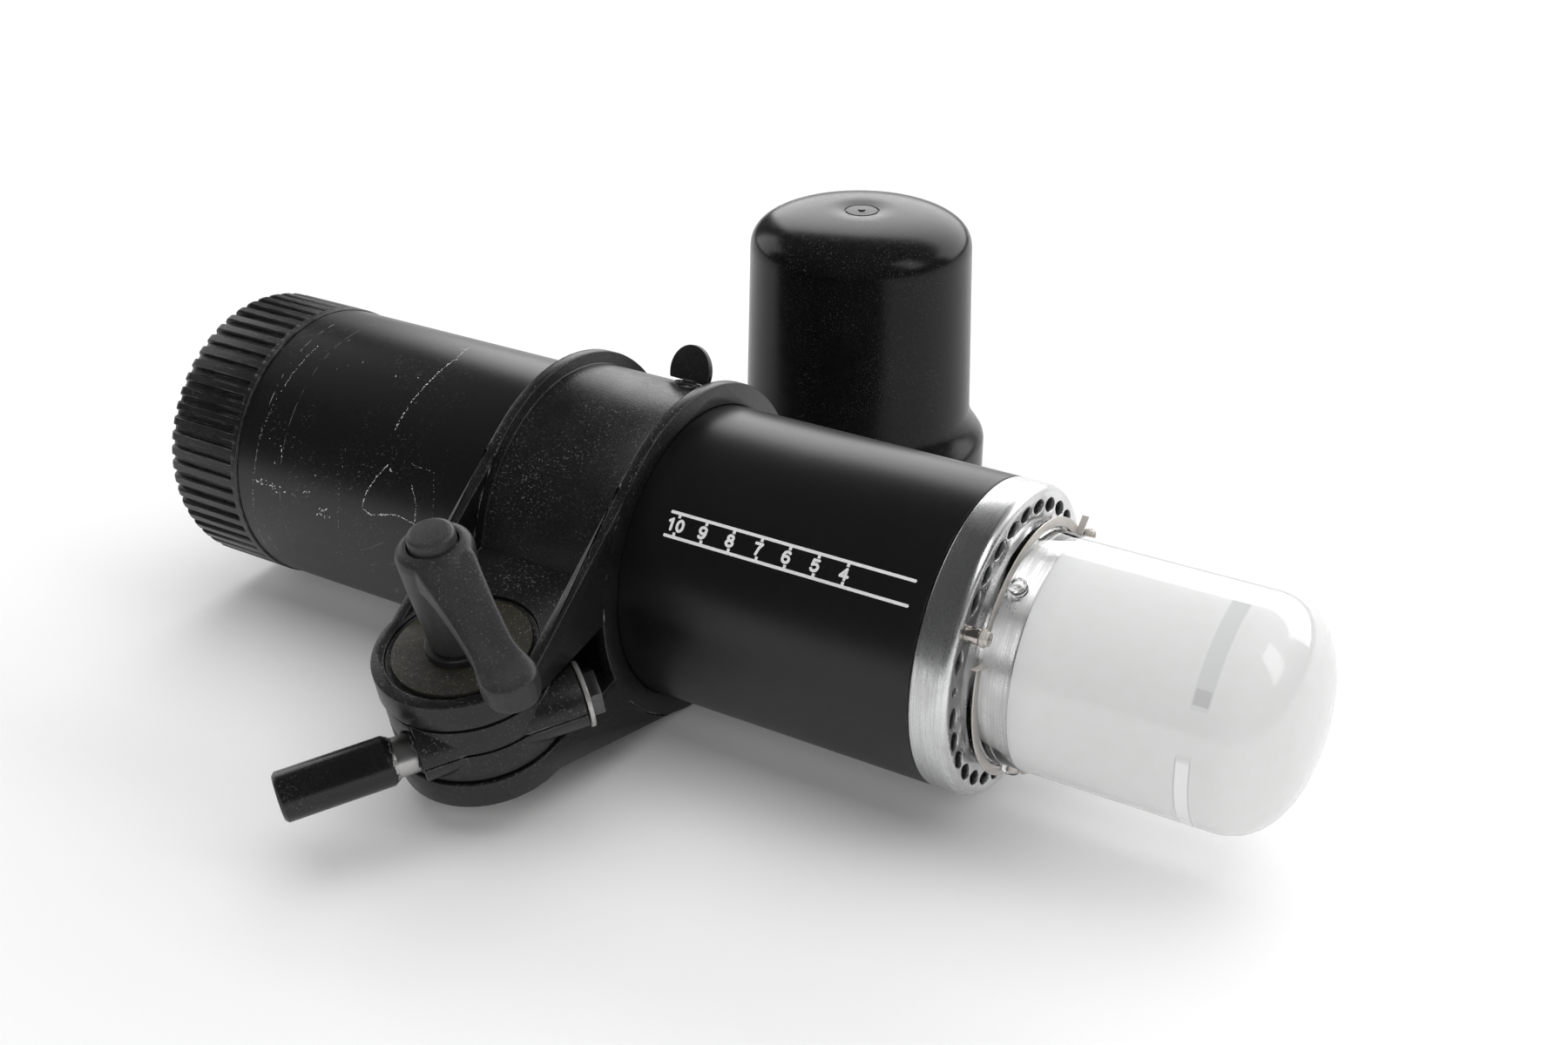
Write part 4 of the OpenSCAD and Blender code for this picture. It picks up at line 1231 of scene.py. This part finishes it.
@dataclass
class GlassDome(Assembly):
    """The frosted dome with its clear foot and nibs."""

    radius: float = 37.2
    wall: float = 2.2
    reach: float = 108.0
    end: float = 23.0
    roundness: float = 2.3
    frost_from: float = 26.0
    foot_from: float = 6.8
    collar_radius: float = 39.4
    collar_from: float = 12.0
    collar_to: float = 14.6
    nib_radius: float = 2.8
    nib_x: float = 20.0
    nib_out: float = 3.0
    nib_angles: Place = (57.0, 177.0, 297.0)
    steps: int = 24

    def curve(self, radius: float, reach: float) -> list[Point]:
        """The rounded end, from its tip to the wall.

        Args:
            radius: Radius of the wall.
            reach: Length of the rounded end.

        Returns:
            Points as (along, radius).
        """
        wall_x, power = self.reach - self.end, 2 / self.roundness
        turns = [math.pi / 2 * index / self.steps for index in range(self.steps + 1)]
        return [(wall_x + reach * math.cos(a) ** power, radius * math.sin(a) ** power) for a in turns]

    def build(self) -> None:
        """Builds the frosted hood and the clear foot."""
        r, inside, frost = self.radius, self.radius - self.wall, self.frost_from
        hood = self.curve(r, self.end) + [(x, r) for x in (70.0, 55.0, 40.0, frost)]
        hood += [(x, inside) for x in (frost, 40.0, 55.0, 70.0)] + self.curve(inside, self.end - self.wall)[::-1]
        obj = smooth(lathe("frosted_hood", hood, 128), 40)
        self.dresser.piece(obj, Body.HOUSING, "frosted_glass", "glass_dome")
        c, front, back, foot = self.collar_radius, self.collar_to, self.collar_from, self.foot_from
        profile = [
            (frost - 0.05, inside), (frost - 0.05, r), (front + 1.6, r), (front + 0.5, r + 0.5), (front, c - 0.5),
            (front - 0.5, c), (back + 0.5, c), (back, c - 0.4), (back, r), (foot + 0.6, r), (foot, r - 0.6),
            (foot, inside + 0.5), (foot + 0.5, inside), (frost - 0.05, inside),
        ]
        parts = [lathe("clear_foot", profile, 128)]
        base, n, tip = r - self.wall / 2, self.nib_radius, r + self.nib_out
        nib = [
            (base, 0.0), (base, n), (r + 1.6, n), (tip - 0.9, n - 0.2), (tip - 0.3, n - 0.9), (tip - 0.5, n - 1.7),
            (tip - 0.9, 0.0),
        ]
        for angle in self.nib_angles:
            knob = lathe("nib", nib, 24, Axis.UPRIGHT)
            parts.append(seat(knob, moved(self.nib_x, 0, 0) @ turned(90 - angle)))
        foot_piece = smooth(join("glass_foot", parts), 40)
        self.dresser.piece(foot_piece, Body.HOUSING, "clear_glass", "glass_dome")


@dataclass
class RearRing(Assembly):
    """The ribbed ring that closes the rear of the tube."""

    front: float = -269.0
    rear: float = -303.0
    radius: float = 50.6
    ribs: int = 56
    groove_width: float = 1.9
    groove_depth: float = 1.6
    groove_slope: float = 0.12
    band: float = 3.0
    round_edge: float = 3.0
    recess_radius: float = 45.7
    recess: float = 10.0

    def build(self) -> None:
        """Builds the ribbed skin over the plain ring."""
        self.dresser.piece(self.skin(), Body.HOUSING, "ribbed_plastic", "rear_ring")

    def spokes(self) -> list[Point]:
        """The outline of one rib and its groove.

        Returns:
            Points as (degrees from the groove's middle, share of the groove's depth).
        """
        pitch = 360 / self.ribs
        half = self.groove_width / (2 * math.pi * self.radius) * 360 / 2
        slope = self.groove_slope * pitch
        return [
            (-half, 1.0), (half, 1.0), (half + slope * 0.5, 0.25), (half + slope, 0.0), (pitch / 2, 0.0),
            (pitch - half - slope, 0.0), (pitch - half - slope * 0.5, 0.25), (pitch - half - 0.02, 1.0),
        ]

    def stations(self) -> list[Place]:
        """The half section of the ring.

        Returns:
            Points as (along, radius, share of the groove's depth).
        """
        front, rear, r, edge = self.front, self.rear, self.radius, self.round_edge
        inner, floor = self.recess_radius, rear + self.recess + 3.0
        return [
            (front, r - 0.4, 0.0), (front - 0.4, r, 0.0), (front - self.band + 0.4, r, 0.0),
            (front - self.band, r, 1.0), (rear + edge, r, 1.0), (rear + edge * 0.45, r - 0.5, 1.0),
            (rear + edge * 0.12, r - 1.5, 0.75), (rear, r - edge, 0.0), (rear, inner, 0.0), (floor, inner, 0.0),
            (floor, inner - 4.0, 0.0), (front - 3.0, inner - 4.0, 0.0), (front, inner - 3.0, 0.0),
            (front, r - 0.4, 0.0),
        ]

    def skin(self) -> Obj:
        """Models the ring from one toothed outline.

        Returns:
            The ribbed ring.
        """
        spokes, stations = self.spokes(), self.stations()
        count = self.ribs * len(spokes)
        clear()
        bpy.ops.mesh.primitive_circle_add(vertices=count, radius=self.radius * MM, rotation=(0, math.pi / 2, 0))
        apply_place()
        edit(bpy.context.object)
        for _ in stations[1:]:
            bpy.ops.mesh.extrude_region_move(TRANSFORM_OT_translate={"value": (-MM, 0, 0)})
        obj = named("ribbed_ring")
        order = sorted(obj.data.vertices, key=lambda v: (round(-v.co.x / MM), math.atan2(v.co.z, v.co.y)))
        places = {}
        for index, vertex in enumerate(order):
            station, spoke = divmod(index, count)
            x, radius, cut = stations[station]
            rib, step = divmod(spoke, len(spokes))
            turn, depth = spokes[step]
            angle = math.radians(rib * 360 / self.ribs + turn)
            out = (radius - self.groove_depth * depth * cut) * MM
            places[vertex.index] = (x * MM, out * math.cos(angle), out * math.sin(angle))
        for index, place in places.items():
            obj.data.vertices[index].co = place
        edit(obj)
        bpy.ops.mesh.remove_doubles(threshold=MERGE)
        return smooth(outward("ribbed_ring"), 38)


@dataclass
class Bracket:
    """The frame of the tilt bracket: its pivot and the turn of its lever."""

    roll: float = 12.0
    pivot: Point = (-131.75, -90.0)
    lever_turn: float = -28.6

    def at_pivot(self) -> Matrix:
        """The pivot's frame, with Z along the pivot."""
        return turned(self.roll) @ moved(*self.pivot, 0)

    def at_lever(self) -> Matrix:
        """The lever's frame, with X along its arm."""
        return self.at_pivot() @ turned(self.lever_turn, "Z")


@dataclass
class Cradle(Assembly):
    """The sliding cradle with its fork, ears, washers and nut."""

    edge: float = 0.5

    def build(self) -> None:
        """Builds the cradle and what is fixed to it."""
        body, both, pivot = Body.CRADLE, (BODY_LINE, PIVOT_LINE), (PIVOT_LINE,)
        self.dresser.copies(
            Copied("cradle", "cradle_shell", "cradle_plastic", self.edge, body, both, angle=40.0, clamp=False),
            Copied("friction_washer", "fibre_washer", "olive_fibre", 0.2, body, pivot),
            Copied("clamp_washer", "plain_washer", "galvanised", 0.2, body, pivot),
            Copied("clamp_nut", "hex_nut", "plated_steel", 0.5, body),
        )


@dataclass
class Swivel(Assembly):
    """The swivel disc in two halves, with the stud, its washer and its nut."""

    edge: float = 0.5
    radius: float = 27.4
    gaps: tuple[Point, ...] = ((9.9, 11.3), (-0.32, 0.32), (-11.3, -10.3))
    gap_lift: float = 0.05
    gap_depth: float = 0.4

    def parting_lines(self) -> Obj:
        """Painted shade of the gaps at the ears and between the halves, as three thin near-black bands standing just
        off the swivel.

        Returns:
            The bands as one piece.
        """
        outer, inner = self.radius + self.gap_lift, self.radius - self.gap_depth
        bands = []
        for low, high in self.gaps:
            profile = [(low, inner), (low, outer), (high, outer), (high, inner), (low, inner)]
            bands.append(lathe("gap", profile, 128, Axis.UPRIGHT))
        return seat(join("swivel_gap_shade", bands), Bracket().at_pivot())

    def build(self) -> None:
        """Builds the halves and the stud."""
        # Painted shade: near-black bands over the gaps at the ears and between the halves.
        self.dresser.piece(self.parting_lines(), Body.SWIVEL, "swivel_black", look="gap_shade")
        lines = (PIVOT_LINE, BARREL_LINE)
        for node, name in (("swivel_upper", "swivel_top"), ("swivel_lower", "swivel_base")):
            self.dresser.copies(
                Copied(node, name, "swivel_black", self.edge, Body.SWIVEL, lines, angle=40.0, clamp=False)
            )
        self.dresser.copies(
            Copied("stand_stud", "stud", "stud_black", 0.3, Body.STUD, lines[1:], angle=25.0),
            Copied("stud_washer", "stud_plate", "galvanised", 0.25, Body.STUD, lines[1:]),
            Copied("stud_nut", "stud_hex", "dark_screw", 0.4, Body.STUD),
        )


@dataclass
class ClampLever(Assembly):
    """The clamp lever with its hub, arm, button, collar and bolt."""

    bracket: Bracket = field(default_factory=Bracket)
    hub_base: float = 23.9
    hub_top: float = 61.8
    foot_radius: float = 9.2
    top_radius: float = 12.0
    bore: float = 5.1
    recess_radius: float = 7.9
    button_radius: float = 7.4
    recess: float = 9.0
    roof: float = 17.8
    button_depth: float = 4.5
    button_rise: float = 3.9
    voxel: float = 0.4
    squareness: float = 0.38

    def build(self) -> None:
        """Builds the lever and the pieces on its pivot."""
        lever = seat(self.handle(), self.bracket.at_lever())
        self.dresser.piece(lever, Body.LEVER, "lever_plastic", "clamp_lever")
        button = seat(self.button(), self.bracket.at_pivot())
        self.dresser.piece(button, Body.LEVER_KEY, "lever_button_plastic", "lever_button")
        self.dresser.copies(
            Copied("lever_collar", "collar", "black_plastic", 0.4, Body.LEVER, (PIVOT_LINE,), 3),
            Copied("clamp_bolt", "bolt", "plated_steel", 0.5, Body.LEVER, (PIVOT_LINE,), 3),
        )

    def handle(self) -> Obj:
        """The hub and arm as one soft moulded shape.

        Returns:
            The handle in the pivot's frame, its arm along X.
        """
        top, wide, well = self.hub_top, self.top_radius, self.recess_radius
        roof, floor = self.hub_top - self.roof, self.hub_top - self.recess
        hub = [
            (roof, 0.0), (roof, self.bore), (self.hub_base, self.bore), (self.hub_base, self.foot_radius),
            (top - 14, wide - 0.7), (top - 3.5, wide), (top - 1.6, wide - 0.6), (top - 0.5, wide - 1.8),
            (top, wide - 3.2), (top, well), (floor, well), (floor, 0.0),
        ]
        obj = join("lever", [lathe("hub", hub, 64, Axis.UPRIGHT), self.arm()])
        take(obj)
        melt = obj.modifiers.new("one_shape", "REMESH")
        melt.mode = "VOXEL"
        melt.voxel_size = self.voxel * MM
        bpy.ops.object.modifier_apply(modifier=melt.name)
        ease = obj.modifiers.new("ease", "SMOOTH")
        ease.factor = 0.5
        ease.iterations = 5
        bpy.ops.object.modifier_apply(modifier=ease.name)
        return smooth(obj, 60)

    def arm(self) -> Obj:
        """The arm, drawn out station by station from the hub to its thick round end.

        Returns:
            The arm along X.
        """
        stations = [
            (5.0, 55.4, 6.4, 9.4), (10.0, 55.2, 5.4, 9.2), (16.0, 52.7, 4.5, 8.3), (24.0, 48.8, 3.9, 7.4),
            (31.0, 45.0, 3.8, 6.9), (35.5, 42.4, 3.9, 6.8), (38.5, 40.6, 4.2, 7.3), (41.5, 39.2, 4.6, 8.2),
            (45.0, 38.6, 4.9, 8.6), (48.0, 38.5, 4.9, 8.1), (50.4, 38.5, 4.8, 6.9), (52.3, 38.5, 4.6, 4.9),
            (53.3, 38.5, 4.3, 2.6),
        ]
        clear()
        bpy.ops.mesh.primitive_circle_add(vertices=40, radius=MM, fill_type="NGON", rotation=(0, math.pi / 2, 0))
        apply_place()
        obj = bpy.context.object
        for vertex in obj.data.vertices:
            for axis in (1, 2):
                out = vertex.co[axis] / MM
                vertex.co[axis] = math.copysign(abs(out) ** self.squareness, out) * MM
        x, z, half_z, half_y = stations[0]
        edit(obj)
        bpy.ops.transform.resize(value=(1, half_y, half_z), center_override=(0, 0, 0))
        bpy.ops.transform.translate(value=(x * MM, 0, z * MM))
        for start, end in zip(stations, stations[1:]):
            step = ((end[0] - start[0]) * MM, 0, (end[1] - start[1]) * MM)
            bpy.ops.mesh.extrude_region_move(TRANSFORM_OT_translate={"value": step})
            centre = (end[0] * MM, 0, end[1] * MM)
            bpy.ops.transform.resize(value=(1, end[3] / start[3], end[2] / start[2]), center_override=centre)
        return outward("arm")

    def button(self) -> Obj:
        """The push button in the hub's recess.

        Returns:
            The button in the pivot's frame.
        """
        foot, top, out = self.hub_top - self.button_depth, self.hub_top + self.button_rise, self.button_radius
        profile = [
            (foot, 0.0), (foot, out), (top - 1.7, out), (top - 1.0, out - 0.15), (top - 0.5, out - 0.5),
            (top - 0.15, out - 1.1), (top, out - 2.0), (top, 0.0),
        ]
        return smooth(lathe("push_button", profile, 64, Axis.UPRIGHT), 50)


@dataclass
class TransportCap(Assembly):
    """The transport cap that stands behind the flash."""

    x: float = -134.0
    y: float = 161.0
    skirt_radius: float = 52.0
    skirt_height: float = 34.0
    foot_radius: float = 45.6
    top_radius: float = 43.8
    height: float = 126.1
    crown_height: float = 17.0
    crown_power: float = 2.9
    crown_steps: int = 17
    wall: float = 2.6

    def outline(self, wall: float) -> list[Point]:
        """Half section from the foot up to the middle of the top.

        Args:
            wall: Thickness that is taken off the outer skin.

        Returns:
            Points as (height, radius).
        """
        skirt, waist, rim = (r - wall for r in (self.skirt_radius, self.foot_radius, self.top_radius))
        lip, top, power = self.skirt_height - 3 - wall, self.height - wall, self.crown_power
        points = [(0.0, skirt)] if wall else [(0.0, skirt - 0.6), (0.5, skirt)]
        points += [
            (lip - 1.0, skirt), (lip + 0.4, skirt - 0.35), (lip + 2.4, skirt - 1.6), (lip + 5.0, waist + 2.9),
            (lip + 8.0, waist + 1.2), (lip + 10.5, waist + 0.35), (lip + 12.5 + wall, waist),
        ]
        for index in range(self.crown_steps):
            share = math.sin(math.pi / 2 * index / self.crown_steps)
            height = top - self.crown_height * (1 - share)
            points.append((height, rim * (1 - share ** power) ** (1 / power)))
        if wall:
            return points + [(top - 0.6, 6.0), (top, 0.0)]
        return points + [
            (top - 0.75, 7.2), (top - 0.75, 7.0), (top - 1.15, 6.8), (top - 1.15, 6.3), (top - 0.7, 6.1),
            (top - 0.6, 1.6), (top - 0.2, 1.2), (top - 0.1, 0.0),
        ]

    def build(self) -> None:
        """Builds the cap as one turned shell."""
        profile = self.outline(0.0) + self.outline(self.wall)[::-1]
        obj = lathe("transport_shell", profile + [profile[0]], 128, Axis.UPRIGHT)
        seat(smooth(obj, 40), moved(self.x, self.y, FLOOR))
        self.dresser.piece(obj, Body.TRAVEL_CAP, "cap_plastic", "transport_cap")


@dataclass
class Thumbscrew(Assembly):
    """The coin-headed screw that locks the cradle on the tube."""

    x: float = -120.5
    lean: float = 20.0
    turn: float = -11.0
    radius: float = 9.0
    thickness: float = 1.8
    centre: float = 57.6
    foot: float = 54.35
    shank_radius: float = 2.4
    edge: float = 0.4

    def build(self) -> None:
        """Builds the coin, cut flat over the boss, and its shank."""
        clear()
        bpy.ops.mesh.primitive_cylinder_add(
            vertices=72, radius=self.radius * MM, depth=self.thickness * MM,
            location=(0, 0, self.centre * MM), rotation=(math.pi / 2, 0, 0),
        )
        apply_place()
        coin = named("coin")
        edit(coin)
        cut = (0, 0, self.foot * MM)
        bpy.ops.mesh.bisect(plane_co=cut, plane_no=(0, 0, 1), use_fill=True, clear_inner=True)
        coin = named("coin")
        soften(coin, self.edge, 3)
        low, high, out = self.foot - 4.0, self.foot + 0.4, self.shank_radius
        shank = lathe("shank", [(low, 0.0), (low, out), (high, out), (high, 0.0)], 32, Axis.UPRIGHT)
        obj = smooth(join("coin_screw", [coin, shank]), 34)
        seat(obj, turned(-self.lean) @ moved(self.x, 0, 0) @ turned(self.turn, "Z"))
        self.dresser.piece(obj, Body.LOCK_SCREW, "black_plastic", "thumbscrew")


@dataclass
class ControlPanel(Assembly):
    """The control panel in the rear ring, with its printed marks."""

    face: float = -293.0
    dials: tuple[Point, ...] = ((-20.0, 14.0), (20.0, 14.0))
    dial_radius: float = 11.5
    lift: float = 0.05
    tick_width: float = 0.55
    tick_length: float = 1.6
    last_tick_length: float = 2.6
    tick_gap: float = 1.2
    first_tick: float = 135.0
    tick_step: float = 27.0
    ticks_round: int = 11

    def build(self) -> None:
        """Builds the panel, its controls and the print."""
        self.dresser.copies(
            Copied("rear_panel", "panel_plate", "panel_black", 0.3),
            Copied("panel_screws", "panel_fixings", "dark_screw", 0.2),
            Copied("mains_inlet", "inlet", "black_plastic", 0.3),
            Copied("inlet_pins", "pins", "plated_steel", 0.3),
            Copied("fuse_caps", "fuses", "black_plastic", 0.3),
            Copied("switch_frame", "rocker_frame", "black_plastic", 0.3),
            Copied("power_rocker", "rocker_key", "red_plastic", 0.3, Body.ROCKER),
            Copied("flash_dial", "flash_knob_cap", "dial_plastic", 0.15, Body.FLASH_KNOB),
            Copied("lamp_dial", "lamp_knob_cap", "dial_plastic", 0.15, Body.LAMP_KNOB),
            Copied("test_button", "test_cap", "red_plastic", 0.4, Body.TEST_KEY),
            Copied("sync_socket", "sync_jack", "plated_steel", 0.2),
            Copied("photocell", "photocell_lens", "red_lens", 0.1),
            Copied("ready_lamps", "ready_lenses", "green_lens", 0.1),
        )
        self.dresser.piece(self.ticks(), Body.HOUSING, "ceramic", look="white_print")

    def ticks(self) -> Obj:
        """The ticks printed round each dial, the last one longer.

        Returns:
            The ticks as one piece.
        """
        facing = Matrix(((0, 0, -1, (self.face - self.lift) * MM), (-1, 0, 0, 0), (0, 1, 0, 0), (0, 0, 0, 1)))
        parts = []
        for y, z in self.dials:
            for index in range(self.ticks_round):
                clear()
                bpy.ops.mesh.primitive_plane_add(size=1)
                length = self.last_tick_length if index == self.ticks_round - 1 else self.tick_length
                middle = self.dial_radius + self.tick_gap + length / 2
                tick = sized((self.tick_width, length), (0.0, middle, 0.0))
                turn = turned(self.first_tick - self.tick_step * index, "Z")
                parts.append(seat(tick, facing @ moved(-y, z, 0) @ turn))
        return join("dial_ticks", parts)


@dataclass
class Studio:
    """The floor, the lights and the camera."""

    floor_size: float = 14.0
    floor_drop: float = 0.05
    ambient: float = 0.07
    camera_place: Place = (0.21183, -0.46959, 0.30668)
    camera_target: Place = (-0.0722, 0.0, 0.0189)
    lens: float = 43.84
    sensor: float = 36.0
    lights: tuple[tuple[str, Place, Place, Point, float, bool], ...] = (
        ("back_sweep", (0.0, 1.55, 0.72), (0, 0, 0.1), (3.2, 1.2), 2.6, True),
        ("right_box", (0.95, 0.12, 0.86), (0, 0, 0), (0.4, 0.85), 2.6, True),
        ("left_box", (-1.7, 0.3, 0.6), (-0.1, 0, 0), (1.0, 1.0), 1.6, True),
        ("overhead", (0.0, 0.1, 1.4), (0, 0, 0), (1.8, 1.8), 1.8, False),
        ("front_fill", (0.5, -1.6, 0.9), (0, 0, 0), (1.6, 1.2), 2.5, False),
    )

    def build(self) -> None:
        """Builds the floor, the lights and the camera."""
        self.floor()
        world = bpy.data.worlds.new("studio_air")
        world.use_nodes = True
        Net(world.node_tree).feed(world.node_tree.nodes["Background"], {0: grey(1.0), 1: self.ambient})
        bpy.context.scene.world = world
        bpy.context.scene.view_settings.view_transform = "Standard"
        for row in self.lights:
            self.light(*row)
        camera = bpy.data.cameras.new("camera")
        camera.lens = self.lens
        camera.sensor_width = self.sensor
        camera.clip_start = 0.01
        bpy.context.scene.camera = self.aimed(camera, self.camera_place, self.camera_target)

    def floor(self) -> None:
        """Builds the floor, which shows darker in glossy surfaces, as a large dark studio round a pale table does."""
        clear()
        bpy.ops.mesh.primitive_plane_add(size=self.floor_size, location=(0, 0, (FLOOR - self.floor_drop) * MM))
        floor = named("floor")
        material = bpy.data.materials.new("floor")
        material.use_nodes = True
        net = Net(material.node_tree)
        shader = net.tree.nodes["Principled BSDF"]
        net.feed(shader, {"Base Color": grey(0.9), "Roughness": 0.9, "Specular IOR Level": 0.1})
        dim = net.node("BsdfDiffuse", {"Color": grey(0.78)})
        ray = net.node("LightPath", {})
        blend = net.node("MixShader", {0: ray.outputs["Is Glossy Ray"], 1: shader.outputs[0], 2: dim.outputs[0]})
        net.feed(net.tree.nodes["Material Output"], {"Surface": blend.outputs[0]})
        floor.data.materials.append(material)

    @staticmethod
    def aimed(data: bpy.types.ID, place: Place, target: Place) -> Obj:
        """Stands a camera or a light and turns it to its target.

        Args:
            data: The camera or the light.
            place: Where it stands.
            target: What it looks at.

        Returns:
            The new object.
        """
        holder = held(data.name, data)
        holder.location = place
        holder.rotation_euler = (Vector(target) - Vector(place)).to_track_quat("-Z", "Y").to_euler()
        return holder

    def light(self, name: str, place: Place, target: Place, size: Point, bright: float, mirrored: bool) -> None:
        """Hangs one soft box.

        Args:
            name: Its name.
            place: Where it hangs.
            target: What it points at.
            size: Width and height of its face, in metres.
            bright: Brightness of its face.
            mirrored: Whether it shows in polished surfaces.
        """
        lamp = bpy.data.lights.new(name, "AREA")
        lamp.shape = "RECTANGLE"
        lamp.size, lamp.size_y = size
        lamp.energy = bright * math.pi * size[0] * size[1]
        self.aimed(lamp, place, target).visible_glossy = mirrored


def main() -> None:
    """Builds the studio, dresses the CAD nodes and builds every finer piece."""
    logging.basicConfig(level=logging.INFO, format="%(name)s: %(message)s")
    Studio().build()
    dresser = Dresser()
    dresser.cad_nodes()
    for assembly in (
        BodyTube, FrontRing, GlassDome, RearRing, ControlPanel, Cradle, Swivel, ClampLever, Thumbscrew, TransportCap,
    ):
        assembly(dresser).build()
        LOG.info("%s is done", assembly.__name__)


if __name__ == "__main__":
    main()
